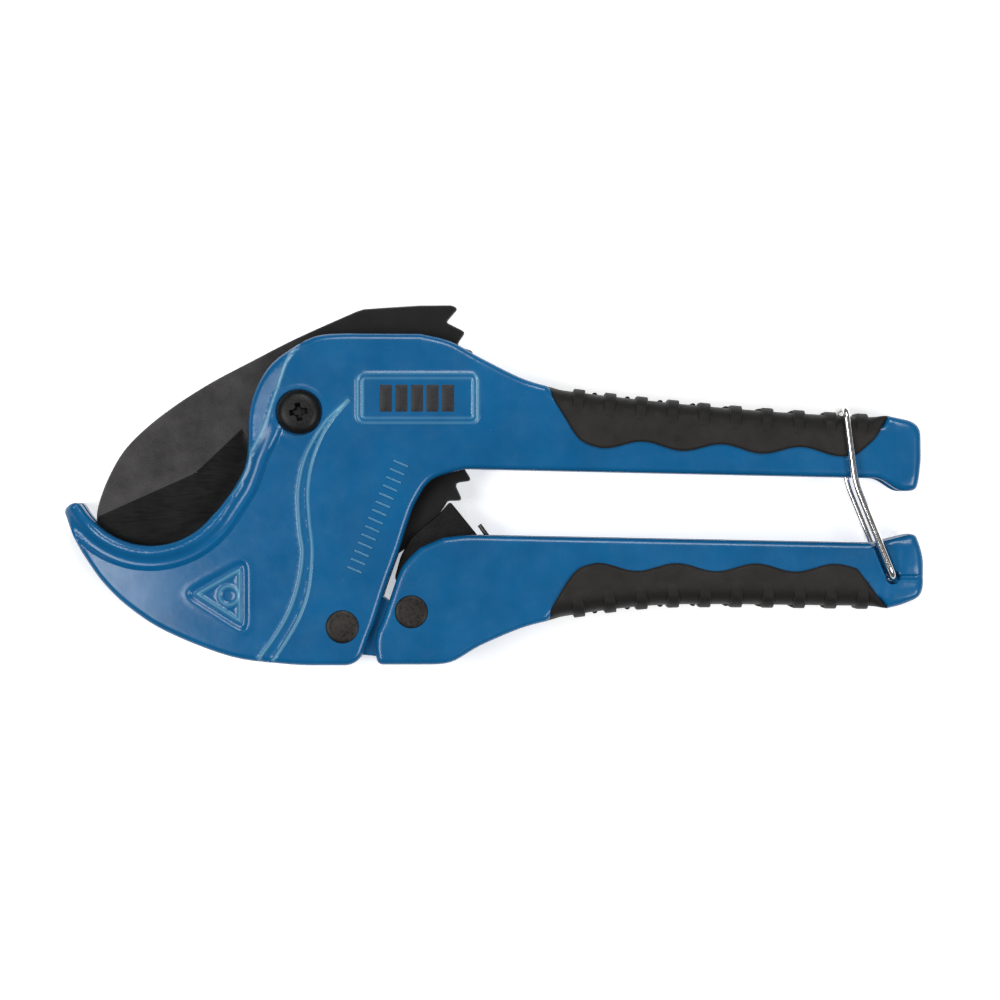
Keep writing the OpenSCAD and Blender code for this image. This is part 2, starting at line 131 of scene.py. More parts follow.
def curve(points, steps=6):
    """A Catmull-Rom curve through the points."""
    p = [np.array(q, float) for q in points]
    found = []
    for i in range(len(p) - 1):
        a, b, c, d = p[max(i - 1, 0)], p[i], p[i + 1], p[min(i + 2, len(p) - 1)]
        for k in range(steps):
            t = k / steps
            found.append(0.5 * (2 * b + (c - a) * t + (2 * a - 5 * b + 4 * c - d) * t ** 2
                                + (3 * b - a - 3 * c + d) * t ** 3))
    found.append(p[-1])
    return [tuple(q) for q in found]


def resample(points, step, closed=True):
    """The same line with no stretch longer than step."""
    p = [np.array(q, float) for q in points]
    ends = p[1:] + ([p[0]] if closed else [])
    found = []
    for a, b in zip(p, ends):
        count = max(1, math.ceil(np.linalg.norm(b - a) / step))
        found += [a + (b - a) * k / count for k in range(count)]
    if not closed:
        found.append(p[-1])
    return np.array(found)


def rounded(points, radius, steps=6, closed=True):
    """Each corner is replaced by an arc-like turn that starts radius away from it."""
    p = [np.array(q, float) for q in points]
    found = [] if closed else [p[0]]
    corners = range(len(p)) if closed else range(1, len(p) - 1)
    for i in corners:
        a, b, c = p[i - 1], p[i], p[(i + 1) % len(p)]
        first = min(radius, np.linalg.norm(a - b) * 0.45)
        last = min(radius, np.linalg.norm(c - b) * 0.45)
        start = b + (a - b) / np.linalg.norm(a - b) * first
        end = b + (c - b) / np.linalg.norm(c - b) * last
        for k in range(steps + 1):
            t = k / steps
            found.append((1 - t) ** 2 * start + 2 * t * (1 - t) * b + t ** 2 * end)
    if not closed:
        found.append(p[-1])
    return np.array(found)


def sideways(line, closed=True):
    """Unit vectors to the left of a line, at each of its points."""
    if closed:
        along = np.roll(line, -1, 0) - np.roll(line, 1, 0)
    else:
        along = np.gradient(line, axis=0)
    along /= np.maximum(np.linalg.norm(along, axis=1, keepdims=True), 1e-9)
    return np.stack([-along[:, 1], along[:, 0]], 1)


def reach_to(points, line, closed=False):
    """Distance from each point to a line, and its sign: above zero to the line's left."""
    points = np.asarray(points, float)
    a = np.asarray(line, float)
    b = np.roll(a, -1, 0)
    if not closed:
        a, b = a[:-1], b[:-1]
    run = b - a
    size = np.maximum((run ** 2).sum(1), 1e-12)
    far, side = [], []
    for chunk in np.array_split(points, max(1, len(points) // 3000)):
        gap = chunk[:, None, :] - a[None]
        t = np.clip((gap * run).sum(2) / size, 0, 1)
        off = gap - t[..., None] * run
        d = (off ** 2).sum(2)
        near = d.argmin(1)
        rows = np.arange(len(chunk))
        far.append(np.sqrt(d[rows, near]))
        cross = run[near, 0] * gap[rows, near, 1] - run[near, 1] * gap[rows, near, 0]
        side.append(np.where(cross >= 0, 1.0, -1.0))
    return np.concatenate(far), np.concatenate(side)


def within(points, loop):
    """True for each point inside a closed loop."""
    points = np.asarray(points, float)
    a = np.asarray(loop, float)
    b = np.roll(a, -1, 0)
    x, y = points[:, 0][:, None], points[:, 1][:, None]
    crosses = (a[:, 1] > y) != (b[:, 1] > y)
    rise = np.where(b[:, 1] == a[:, 1], 1e-12, b[:, 1] - a[:, 1])
    at = (b[:, 0] - a[:, 0]) * (y - a[:, 1]) / rise + a[:, 0]
    return (crosses & (x < at)).sum(1) % 2 == 1


def ease(t):
    """Goes smoothly from 0 to 1 while t does."""
    t = np.clip(t, 0, 1)
    return t * t * (3 - 2 * t)


print("a quarter turn in 4 steps:", [tuple(np.round(q, 2)) for q in arc(pivot, 1, 0, 90, 4)])

# %% [markdown]
# ## Skins for castings and plates
# A die casting is a flat shape with rounded rims and shallow relief: beads, grooves and frames.
# Its skin could be sculpted, or drawn as a grid of squares, but a grid leaves steps at a slanting
# edge. Here the outline, rows of points along each feature and a field of filling points are
# joined by a Delaunay triangulation, so edges stay clean and detail goes only where it is wanted.
# A height is then worked out for each point. Back and front share the triangles, and a wall
# joins them, so the skin is closed.

# %% Skin builder


def new_piece(name, verts, faces, material=None):
    """A mesh object from millimetre points."""
    mesh = bpy.data.meshes.new(name)
    mesh.from_pydata([tuple(float(c) * MM for c in v) for v in verts], [], faces)
    mesh.validate()
    piece = bpy.data.objects.new(name, mesh)
    bpy.context.scene.collection.objects.link(piece)
    if material is not None:
        mesh.materials.append(material)
    return piece


def smooth(piece, angle=32):
    """Shades a piece smoothly, apart from edges sharper than the angle."""
    piece.data.shade_smooth()
    piece.data.set_sharp_from_angle(angle=math.radians(angle))
    return piece


def rim_drop(distance, radius):
    """How far a rounded rim has dropped at a distance in from the outline."""
    t = np.clip(1 - distance / radius, 0, 1)
    return radius * (1 - np.sqrt(1 - t * t))


def rows_beside(line, offsets, step=0.7, closed=False):
    """Rows of points along a line and beside it."""
    fine = resample(line, step, closed)
    side = sideways(fine, closed)
    return np.concatenate([fine + side * d for d in offsets])


def keep_apart(rows, field, gap_rows, gap_field):
    """Rows first, then filling points, leaving out any that comes too near one already kept."""
    kept = []
    cells = {}

    def crowded(p, gap):
        cx, cy = int(p[0] // 1.0), int(p[1] // 1.0)
        for i in range(cx - 1, cx + 2):
            for j in range(cy - 1, cy + 2):
                for q in cells.get((i, j), ()):
                    if (p[0] - q[0]) ** 2 + (p[1] - q[1]) ** 2 < gap * gap:
                        return True
        return False

    for group, gap in ((rows, gap_rows), (field, gap_field)):
        for p in group:
            p = (float(p[0]), float(p[1]))
            if not crowded(p, gap):
                kept.append(p)
                cells.setdefault((int(p[0] // 1.0), int(p[1] // 1.0)), []).append(p)
    return kept


def skin(name, outline, front, back, rim=1.5, step=0.9, edge_step=0.8, rows=(), seam=0.0):
    """A closed skin over an outline. front and back give heights for an array of points, rim is
    the radius of the rounded rims, and seam is how proud the parting line stands."""
    edge = resample(outline, edge_step)
    if (edge[:, 0] * (np.roll(edge[:, 1], -1) - np.roll(edge[:, 1], 1))).sum() < 0:
        edge = edge[::-1]
    inward = sideways(edge)
    beside = []
    for share in (0.07, 0.28, 0.6, 1.0, 1.45):
        row = edge + inward * rim * share
        near, _ = reach_to(row, edge, closed=True)
        beside.append(row[(near > rim * share * 0.93) & within(row, edge)])
    for row in rows:
        near, _ = reach_to(row, edge, closed=True)
        beside.append(row[(near > rim * 0.8) & within(row, edge)])
    low, high = edge.min(0), edge.max(0)
    down = step * math.sqrt(3) / 2
    field = np.array([(x + (k % 2) * step / 2, y) for k, y in enumerate(np.arange(low[1], high[1], down))
                      for x in np.arange(low[0], high[0], step)])
    near, _ = reach_to(field, edge, closed=True)
    field = field[(near > max(rim * 1.45, step * 0.5)) & within(field, edge)]
    inner = keep_apart(np.concatenate(beside), field, rim * 0.06 + 0.04, step * 0.62)
    points = [Vector(p) for p in edge] + [Vector(p) for p in inner]
    ring = [(k, (k + 1) % len(edge)) for k in range(len(edge))]
    flat, _, faces, *_ = geometry.delaunay_2d_cdt(points, ring, [], 1, 1e-6)
    flat = np.array([tuple(p) for p in flat])
    depth, _ = reach_to(flat, edge, closed=True)
    top, bottom = front(flat), back(flat)
    half = (top - bottom) / 2
    drop = np.minimum(rim_drop(depth, rim), half * 0.85)
    count = len(flat)
    verts = [(x, y, z) for (x, y), z in zip(flat, top - drop)]
    verts += [(x, y, z) for (x, y), z in zip(flat, bottom + drop)]
    skins = [tuple(f) for f in faces] + [tuple(count + v for v in reversed(f)) for f in faces]
    uses = {}
    for f in faces:
        for k in range(len(f)):
            a, b = f[k], f[(k + 1) % len(f)]
            uses[(a, b)] = uses.get((b, a), 0) + 1 if (b, a) in uses else 1
    border = [(a, b) for (a, b) in uses if (b, a) not in uses]
    follow = dict(border)
    if seam:
        outward = {}
        before = {b: a for a, b in border}
        for v in follow:
            along = flat[follow[v]] - flat[before[v]]
            along /= max(np.linalg.norm(along), 1e-9)
            outward[v] = np.array([along[1], -along[0]])
        rails = {}
        for v in follow:
            x, y = flat[v]
            middle_z = (verts[v][2] + verts[count + v][2]) / 2
            rails[v] = [v]
            for lift, proud in ((0.35, 0.0), (0.12, seam), (-0.12, seam), (-0.35, 0.0)):
                rails[v].append(len(verts))
                place = (x, y) + outward[v] * proud
                verts.append((place[0], place[1], middle_z + lift))
            rails[v].append(count + v)
    else:
        rails = {v: [v, count + v] for v in follow}
    for a, b in border:
        for k in range(len(rails[a]) - 1):
            skins.append((rails[a][k], rails[a][k + 1], rails[b][k + 1], rails[b][k]))
    return new_piece(name, verts, skins)


def settle(piece):
    """Turns a piece with modifiers into a plain mesh."""
    shape = bpy.data.meshes.new_from_object(piece.evaluated_get(bpy.context.evaluated_depsgraph_get()))
    piece.modifiers.clear()
    old = piece.data
    piece.data = shape
    shape.name = piece.name
    if old.users == 0:
        bpy.data.meshes.remove(old)
    return piece


def remove(*pieces):
    """Takes helper shapes out of the scene."""
    for piece in pieces:
        bpy.data.objects.remove(piece)


def combine(piece, tools, operation="DIFFERENCE"):
    """Cuts the tools from a piece, or joins them to it, and removes them."""
    for tool in tools:
        step = piece.modifiers.new("combine", "BOOLEAN")
        step.operation = operation
        step.solver = "MANIFOLD"
        step.object = tool
    bpy.context.view_layer.update()
    settle(piece)
    remove(*tools)
    return piece


def prism(outline, low, high):
    """A straight-sided solid over an outline, used as a cutting tool."""
    ring = [tuple(p) for p in outline]
    turn = sum(a[0] * b[1] - b[0] * a[1] for a, b in zip(ring, ring[1:] + ring[:1]))
    if turn < 0:
        ring = ring[::-1]
    n = len(ring)
    verts = [(x, y, low) for x, y in ring] + [(x, y, high) for x, y in ring]
    faces = [tuple(reversed(range(n))), tuple(range(n, 2 * n))]
    faces += [(k, (k + 1) % n, n + (k + 1) % n, n + k) for k in range(n)]
    return new_piece("tool", verts, faces)


def round_tool(centre, radius, low, high, count=96):
    return prism(arc(centre, radius, 0, 360 - 360 / count, count - 1), low, high)


def lathe(name, centre, profile, count=64):
    """A closed solid of revolution about a line along Z. The profile runs (radius, height)
    from the bottom of the axis to the top of it."""
    verts, faces = [(centre[0], centre[1], profile[0][1])], []
    rings = profile[1:-1]
    for r, z in rings:
        verts += [(*polar(centre, r, 360 * k / count), z) for k in range(count)]
    verts.append((centre[0], centre[1], profile[-1][1]))
    top = len(verts) - 1
    for k in range(count):
        n = (k + 1) % count
        faces.append((0, 1 + n, 1 + k))
        for i in range(len(rings) - 1):
            a, b = 1 + i * count, 1 + (i + 1) * count
            faces.append((a + k, a + n, b + n, b + k))
        last = 1 + (len(rings) - 1) * count
        faces.append((last + k, last + n, top))
    return new_piece(name, verts, faces)


def faces_outward(piece):
    """Turns a closed piece's faces outward."""
    work = bmesh.new()
    work.from_mesh(piece.data)
    bmesh.ops.recalc_face_normals(work, faces=work.faces)
    work.to_mesh(piece.data)
    work.free()
    return piece


def mark(piece, name, field):
    """Stores a value from 0 to 1 at every vertex for a finish to read."""
    points = np.empty(len(piece.data.vertices) * 3, np.float32)
    piece.data.vertices.foreach_get("co", points)
    values = np.clip(field(points.reshape(-1, 3) / MM), 0, 1).astype(np.float32)
    piece.data.attributes.new(name, "FLOAT", "POINT").data.foreach_set("value", values)


def report(piece):
    """Prints a piece's triangles, open edges and volume."""
    work = bmesh.new()
    work.from_mesh(piece.data)
    open_edges = sum(1 for e in work.edges if len(e.link_faces) != 2)
    count = sum(len(f.verts) - 2 for f in work.faces)
    print(f"{piece.name}: {count} triangles, {open_edges} open edges, "
          f"{work.calc_volume(signed=True) * 1e6:.2f} cm3")
    work.free()


def dress(piece, *materials, angle=32):
    """Gives a piece only these materials and shades it smoothly."""
    piece.data.materials.clear()
    for material in materials:
        piece.data.materials.append(material)
    return smooth(piece, angle)


def place(piece, body, slot, *nodes):
    """A finished piece rides on a body and stands for CAD nodes, which it hides; slot is not used."""
    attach(piece, body)
    if nodes:
        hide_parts(*nodes)
    report(piece)
    return piece

# %% [markdown]
# ## Finishes
# Each finish is a Principled shader fed by procedural noise on object coordinates, in metres, so
# the grain has its real size and stays put when a piece moves. A broad, faint noise shifts the
# colour, a finer one shifts the roughness, and the finest goes to a bump. Values that are the
# same all over a surface are set on the shader's own sockets.

# %% Finish helpers


def new_finish(name, metallic=0.0, **sockets):
    """A material with its Principled shader and an Object coordinate source."""
    made = bpy.data.materials.new(name)
    made.use_nodes = True
    nodes, links = made.node_tree.nodes, made.node_tree.links
    shader = nodes["Principled BSDF"]
    shader.inputs["Metallic"].default_value = metallic
    for socket, value in sockets.items():
        shader.inputs[socket.replace("_", " ")].default_value = value
    source = nodes.new("ShaderNodeTexCoord").outputs["Object"]
    return made, nodes, links, shader, source


def grain(nodes, links, source, size, detail=3.0, stretch=(1, 1, 1), turn=0.0):
    """Noise whose features are about size millimetres across, from 0 to 1."""
    mapping = nodes.new("ShaderNodeMapping")
    mapping.inputs["Scale"].default_value = [s / (size * MM) for s in stretch]
    mapping.inputs["Rotation"].default_value = (0, 0, math.radians(turn))
    links.new(source, mapping.inputs["Vector"])
    noise = nodes.new("ShaderNodeTexNoise")
    noise.inputs["Scale"].default_value = 1.0
    noise.inputs["Detail"].default_value = detail
    noise.inputs["Roughness"].default_value = 0.55
    links.new(mapping.outputs["Vector"], noise.inputs["Vector"])
    return noise.outputs["Fac"]


def between(nodes, links, value, low, high, start=0.3, end=0.7):
    """Maps a value that runs from start to end onto low to high."""
    ramp = nodes.new("ShaderNodeMapRange")
    ramp.inputs["From Min"].default_value = start
    ramp.inputs["From Max"].default_value = end
    ramp.inputs["To Min"].default_value = low
    ramp.inputs["To Max"].default_value = high
    links.new(value, ramp.inputs["Value"])
    return ramp.outputs["Result"]


def tint(nodes, links, value, stops):
    """A colour ramp; stops are (place, (r, g, b))."""
    ramp = nodes.new("ShaderNodeValToRGB")
    band = ramp.color_ramp
    band.elements[0].position, band.elements[0].color = stops[0][0], (*stops[0][1], 1)
    band.elements[1].position, band.elements[1].color = stops[-1][0], (*stops[-1][1], 1)
    for spot, color in stops[1:-1]:
        band.elements.new(spot).color = (*color, 1)
    links.new(value, ramp.inputs["Fac"])
    return ramp.outputs["Color"]


def blend_colors(nodes, links, amount, first, second):
    """Mixes two colours; each is an output or an (r, g, b)."""
    mix = nodes.new("ShaderNodeMix")
    mix.data_type = "RGBA"
    links.new(amount, mix.inputs["Factor"])
    for socket, color in ((mix.inputs[6], first), (mix.inputs[7], second)):
        if isinstance(color, tuple):
            socket.default_value = (*color, 1)
        else:
            links.new(color, socket)
    return mix.outputs[2]


def stored(nodes, name):
    """Reads a value that mark() stored; a piece without it gives zero."""
    reader = nodes.new("ShaderNodeAttribute")
    reader.attribute_name = name
    return reader.outputs["Fac"]


def bumps(nodes, links, shader, *layers):
    """Stacks bump layers of (height output, depth in millimetres)."""
    normal = None
    for height, depth in layers:
        bump = nodes.new("ShaderNodeBump")
        bump.inputs["Strength"].default_value = 1.0
        bump.inputs["Distance"].default_value = depth * MM
        links.new(height, bump.inputs["Height"])
        if normal is not None:
            links.new(normal, bump.inputs["Normal"])
        normal = bump.outputs["Normal"]
    links.new(normal, shader.inputs["Normal"])


# %% [markdown]
# ## Blue paint
# The castings wear a thick, glossy enamel over a slightly uneven casting. Up close it has the
# faint waviness called orange peel, a little mottling, and pale flecks of dust caught in it. The
# raised lines are painted paler, as rubbed enamel and as a painted highlight, where a piece
# stores how much.

# %% Paint


def enamel(name, deep, bright, peel=0.02):
    made, nodes, links, shader, source = new_finish(
        name, Coat_Weight=0.16, Coat_Roughness=0.14, Specular_IOR_Level=0.3)
    broad = grain(nodes, links, source, 14, 2)
    mottled = tint(nodes, links, broad, [(0.3, deep), (0.7, bright)])
    fleck = between(nodes, links, grain(nodes, links, source, 0.55, 1), 0, 0.3, 0.78, 0.82)
    spotted = blend_colors(nodes, links, fleck, mottled, (0.16, 0.36, 0.52))
    # The raised lines' pale paint: partly rubbed enamel, partly a painted highlight.
    rubbed_and_highlit = blend_colors(nodes, links, stored(nodes, "wear"), spotted, (0.17, 0.42, 0.58))
    links.new(rubbed_and_highlit, shader.inputs["Base Color"])
    cloudy = grain(nodes, links, source, 5, 3)
    links.new(between(nodes, links, cloudy, 0.2, 0.3), shader.inputs["Roughness"])
    bumps(nodes, links, shader, (grain(nodes, links, source, 1.7, 2), peel),
          (grain(nodes, links, source, 6, 1), peel * 2.5))
    return made


head_paint = enamel("head_enamel", (0.0018, 0.092, 0.238), (0.003, 0.111, 0.278), peel=0.026)
lever_paint = enamel("lever_enamel", (0.002, 0.09, 0.232), (0.0035, 0.112, 0.28), peel=0.03)
print("paints:", head_paint.name, lever_paint.name)

# %% [markdown]
# ## Rubber, steels, wire and plastic
# The grips are matt black rubber with a fine moulded stipple, and painted shade darkens the rounded
# back. The blade is blackened steel: its flat keeps a sandy, satin coat, with painted shade where it
# runs in beside the jaw's cheeks, the ground bevel has fine lines along the grinding, and its whole
# rim is painted paler, partly as rubbed steel and partly as a painted highlight.
# Rivets, pawl and screw are blackened too, the latch and the lever's spring are bright wire, and
# the pawl's spring is darker wire.

# %% Rubber


def rubber(name):
    made, nodes, links, shader, source = new_finish(name, Specular_IOR_Level=0.2)
    shader.inputs["Sheen Weight"].default_value = 0.05
    shader.inputs["Sheen Roughness"].default_value = 0.5
    broad = grain(nodes, links, source, 9, 3)
    dusty = tint(nodes, links, broad, [(0.32, (0.0125, 0.0108, 0.01)), (0.72, (0.0215, 0.0188, 0.0173))])
    # Painted shade on the grip's rounded back, where a piece stores how much.
    shaded = blend_colors(nodes, links, stored(nodes, "shade"), dusty, (0.009, 0.008, 0.0075))
    links.new(shaded, shader.inputs["Base Color"])
    links.new(between(nodes, links, grain(nodes, links, source, 3, 3), 0.5, 0.68), shader.inputs["Roughness"])
    bumps(nodes, links, shader, (grain(nodes, links, source, 0.35, 2), 0.035),
          (grain(nodes, links, source, 4, 2), 0.05))
    return made


grip_rubber = rubber("moulded_rubber")

# %% Steels


def dark_steel(name, deep, pale, rough, size=0.35, depth=0.02, stretch=(1, 1, 1), turn=0.0, metallic=0.6,
               cheek_shade=None):
    """Blackened steel; stretch and turn draw the grain out, and the last argument is a colour of painted
    shade, blended in towards x above zero, where the blade runs in beside the jaw's cheeks.
    """
    made, nodes, links, shader, source = new_finish(name, metallic, Specular_IOR_Level=0.25)
    fine = grain(nodes, links, source, size, 4, stretch, turn)
    broad = grain(nodes, links, source, 7, 3)
    sandy = tint(nodes, links, fine, [(0.32, deep), (0.66, pale)])
    cloudy = tint(nodes, links, broad, [(0.35, deep), (0.7, pale)])
    half = between(nodes, links, grain(nodes, links, source, 2.2, 2), 0.35, 0.65)
    color = blend_colors(nodes, links, half, sandy, cloudy)
    # Painted shade on the blade where it runs in beside the jaw's cheeks, for x from -14 to 4 mm.
    if cheek_shade:
        parts = nodes.new("ShaderNodeSeparateXYZ")
        links.new(source, parts.inputs["Vector"])
        cheek_shade_amount = between(nodes, links, parts.outputs["X"], 0, 0.85, -14 * MM, 4 * MM)
        color = blend_colors(nodes, links, cheek_shade_amount, color, cheek_shade)
    # Paler where a piece stores it: on the blade's rim, partly rubbed steel and partly a painted highlight.
    color = blend_colors(nodes, links, stored(nodes, "wear"), color, (0.3, 0.29, 0.28))
    links.new(color, shader.inputs["Base Color"])
    links.new(between(nodes, links, fine, rough[0], rough[1]), shader.inputs["Roughness"])
    bumps(nodes, links, shader, (fine, depth))
    return made


blade_coat = dark_steel("blade_satin_coat", (0.02, 0.019, 0.019), (0.062, 0.059, 0.059), (0.42, 0.6),
                        cheek_shade=(0.004, 0.0038, 0.0038))
blade_ground = dark_steel("blade_ground_bevel", (0.004, 0.004, 0.004), (0.014, 0.014, 0.014),
                          (0.3, 0.45), size=0.25, depth=0.006, stretch=(0.04, 1, 1), turn=-66)
rivet_steel = dark_steel("rivet_steel", (0.012, 0.0105, 0.0095), (0.04, 0.036, 0.032), (0.35, 0.55),
                         size=0.8, depth=0.03)
screw_steel = dark_steel("screw_black_oxide", (0.008, 0.0085, 0.008), (0.022, 0.023, 0.022), (0.32, 0.5),
                         size=0.5, depth=0.02)
pawl_steel = dark_steel("pawl_black_oxide", (0.003, 0.0028, 0.0028), (0.012, 0.0115, 0.0115), (0.35, 0.55),
                        size=0.5, depth=0.02)
spring_steel = dark_steel("dark_spring_wire", (0.06, 0.058, 0.055), (0.16, 0.155, 0.15), (0.25, 0.4),
                          size=0.3, depth=0.004, metallic=0.9)

# %% Bright metals and plastic


def bright_metal(name, deep, pale, rough, size):
    """Plated wire or plain zinc: nearly even, with faint cloudiness and drawing marks."""
    made, nodes, links, shader, source = new_finish(name, 1.0)
    broad = grain(nodes, links, source, size, 3)
    links.new(tint(nodes, links, broad, [(0.3, deep), (0.7, pale)]), shader.inputs["Base Color"])
    fine = grain(nodes, links, source, 0.4, 3)
    links.new(between(nodes, links, fine, rough[0], rough[1]), shader.inputs["Roughness"])
    bumps(nodes, links, shader, (fine, 0.003))
    return made


latch_wire = bright_metal("nickel_plated_wire", (0.8, 0.79, 0.77), (0.92, 0.91, 0.89), (0.12, 0.22), 3)
zinc = bright_metal("zinc_plate", (0.5, 0.5, 0.49), (0.68, 0.68, 0.66), (0.28, 0.42), 2)


def moulded_nylon(name):
    made, nodes, links, shader, source = new_finish(name, Roughness=0.45, Subsurface_Weight=0.15)
    shader.inputs["Subsurface Scale"].default_value = 0.5 * MM
    soft = grain(nodes, links, source, 1.5, 2)
    links.new(tint(nodes, links, soft, [(0.3, (0.72, 0.7, 0.63)), (0.7, (0.8, 0.78, 0.72))]),
              shader.inputs["Base Color"])
    bumps(nodes, links, shader, (soft, 0.02))
    return made


nylon = moulded_nylon("nylon_ring")


def printed_ink(name):
    made, nodes, links, shader, source = new_finish(name, Specular_IOR_Level=0.3)
    thin = grain(nodes, links, source, 0.6, 3)
    links.new(tint(nodes, links, thin, [(0.3, (0.008, 0.008, 0.01)), (0.75, (0.02, 0.021, 0.026))]),
              shader.inputs["Base Color"])
    links.new(between(nodes, links, thin, 0.4, 0.55), shader.inputs["Roughness"])
    bumps(nodes, links, shader, (thin, 0.008))
    return made


black_ink = printed_ink("black_ink")
print("finishes:", len(bpy.data.materials))

# %% [markdown]
# ## Head outline
# The head and the upper handle are one casting. Its outline is the hook, the belly, the round
# corner at the lever pin, the fork down to the handle, the handle's end, its back under the
# grip, the shoulder, and the lobe that falls to the pipe's seat, which is an exact arc.

# %% Head outline
seat_r = 21.0
seat = np.array([-39.5, -14.3])
hook_r = seat_r + 5.0
grip_back = 2.6
upper_lean, lower_lean = 1.25, 2.05     # how far the grips' ends slope towards the handles


def upper_back(x):
    """The grip's back line along the upper handle."""
    along = np.clip((np.asarray(x, float) - grip_start) / 125, 0, 1)
    return 6.9 - 8.51 * (1 - (1 - along) ** 2)


def upper_inner(x):
    """The edge of the upper handle that faces the lever."""
    return -15 - 0.022 * (x - 43.8)


hook_and_belly = curve([polar(seat, hook_r, 208.5), polar(seat, hook_r + 1.7, 222),
                        polar(seat, hook_r + 4.1, 236), polar(seat, hook_r + 7.6, 249),
                        polar(seat, hook_r + 12, 262), polar(seat, hook_r + 18.1, 276),
                        (-18.1, head_bottom + 2.3), (-4, head_bottom + 0.4), (3, head_bottom)], 5)
pin_corner = arc(lever_at + (0.6, -5.05), 5.2, -90, -12, 8)
fork = curve([lever_at + (7.4, -1.5), lever_at + (8.6, 1.6), lever_at + (11.6, 11),
              lever_at + (15, 20.5), (28.5, -29.6), (30.9, -23.4), (35.2, -17.7), (43.8, -15)], 5)
upper_tail = [*rounded([(handle_reach - 30, upper_inner(handle_reach - 30)),
                      (handle_reach - 11.6, upper_inner(handle_reach - 11.6)),
                      (handle_reach - 6.4, upper_inner(handle_reach) - 3.2),
                      (handle_reach - 2, upper_inner(handle_reach) - 3.1),
                      (handle_reach - 1.2, upper_inner(handle_reach) - 0.3),
                      (handle_reach - 0.6, -12.6), (handle_reach - 0.7, -5.1),
                      (handle_reach - 1.6, -3.4), (handle_reach - 3.4, -2.2),
                      (grip_end + 0.1, upper_back(grip_end))], 1.6, steps=4, closed=False),
              (grip_end - upper_lean, upper_back(grip_end) - grip_back)]
under_grip = [(x, upper_back(x) - grip_back) for x in np.linspace(grip_end - 3, grip_start + 2.5, 9)]
shoulder = curve([(grip_start, upper_back(grip_start)), (58.3, 9.2), (47.8, 14.4), (39.9, 18.7),
                  (32, 20.7)], 5)
lobe = curve([(12.2, 20.8), (4.3, 20), (-3.6, 15.8), (-8.6, 11.3), (-12, 5), (-13.4, -1.3),
              (-13.5, -8), (-14.3, -14), (-16.4, -18.5), (-18.9, -22.4), (-21.7, -26)], 5)
seat_arc = arc(seat, seat_r, 322, 211, 48)
hook_tip = curve([polar(seat, seat_r + 0.15, 207.8), polar(seat, seat_r + 1.2, 205.7),
                  polar(seat, seat_r + 2.9, 205.4), polar(seat, seat_r + 4.4, 206.6)], 4)
head_line = [tuple(p) for p in [*hook_and_belly, *pin_corner, *fork, *upper_tail, *under_grip, *shoulder,
                                *lobe, *seat_arc, *hook_tip]]
print("head outline points:", len(head_line))

# %% [markdown]
# ## Relief on the head
# A round bead follows the pipe's seat, leaves it at the lobe and runs on over the head as a
# ridge. Inside it lies a hollow band. Two raised lines sweep down the head with a shallow
# channel between them, the screw stands on a low boss, and there are two raised frames. Each
# feature is a line and a height that depends on the distance from it.

# %% Lines of the head's relief
bead_line = np.array([polar(seat, seat_r + 1.7, a) for a in np.linspace(208, 330, 40)]
                     + curve([(-19.3, -26.3), (-16.2, -20.4), (-14.1, -15.3), (-12.6, -10.8), (-9.4, -4),
                              (-6.4, 4.6), (-4, 12), (-1.6, 15.9), (1.4, 18.9), (6.5, 20.9)], 5)[6:])
line_front = np.array(curve([(12.9, 3.1), (9.2, -0.2), (6, -4), (1.8, -11.6), (-0.2, -20.8), (0.2, -30.8),
                             (1, -37.2), (-0.2, -45.6), (-2.8, -53.2), (-7, -60.3), (-11.5, -66)], 5))
line_rear = np.array(curve([(12.9, 3.1), (9, -1.6), (6, -6.2), (3.3, -13.2), (2.2, -20.8), (2.6, -28.6),
                            (3.3, -36.4), (2.6, -45.6), (0.6, -52.6), (-2.6, -58.8), (-7.2, -66)], 5))
plate_low, plate_high = np.array([15.1, -3.2]), np.array([47.5, 10.5])
plate_mid, plate_half = (plate_low + plate_high) / 2, (plate_high - plate_low) / 2
sign_line = rounded([(-31, -47.9), (-13.6, -58.9), (-13.6, -38)], 4.2, 6)
sign_mid = np.array([-18.6, -48.4])
boss_r = screw_head_r + 1.5


def crease(distance, height, width):
    """A soft raised line."""
    return height * np.exp(-(distance / width) ** 2)


def rounded_box(points, centre, half, radius):
    """Distance outside a rounded rectangle, below zero inside it."""
    q = np.abs(points - centre) - half + radius
    return np.linalg.norm(np.maximum(q, 0), axis=1) + np.minimum(q.max(1), 0) - radius


def thickness(points):
    """The casting is thick at the head and a little thinner along the handle."""
    return head_t + (handle_t - head_t) * ease((points[:, 0] - 45) / 19)


def bead_relief(points):
    """The bead is the highest line of the jaw: it falls outward to the lobe's rim and inward
    into a hollow band, which comes back to the surface at a clear edge."""
    far, side = reach_to(points, bead_line)
    x, y = points.T
    hollow = np.interp(far, [0, 0.5, 1.1, 1.9, 2.7, 3.6, 4.3, 4.65, 5.0],
                       [0.05, -0.02, -0.3, -0.85, -1.25, -1.3, -0.85, -0.3, 0])
    fade = np.where(x < -20, 1.0, 1 - ease((y + 13) / 15))
    inward = np.where(hollow < 0, hollow * fade, hollow)
    lobe_side = ease((y + 24) / 8) * (x > -22)
    outward = -lobe_side * np.interp(far, [0, 0.5, 5, 7], [0, 0.28, 0.85, 1])
    return np.where(side < 0, inward, outward) + crease(far, 0.25, 0.35) * lobe_side


def jaw_slope(points):
    """The jaw thins gently from the raised lines to the hook's outer edge."""
    x, y = points.T
    return -0.0011 * np.maximum(-x - 6, 0) ** 2 * ease((-y - 18) / 14) - 0.5 * ease((-y - 40) / 26)


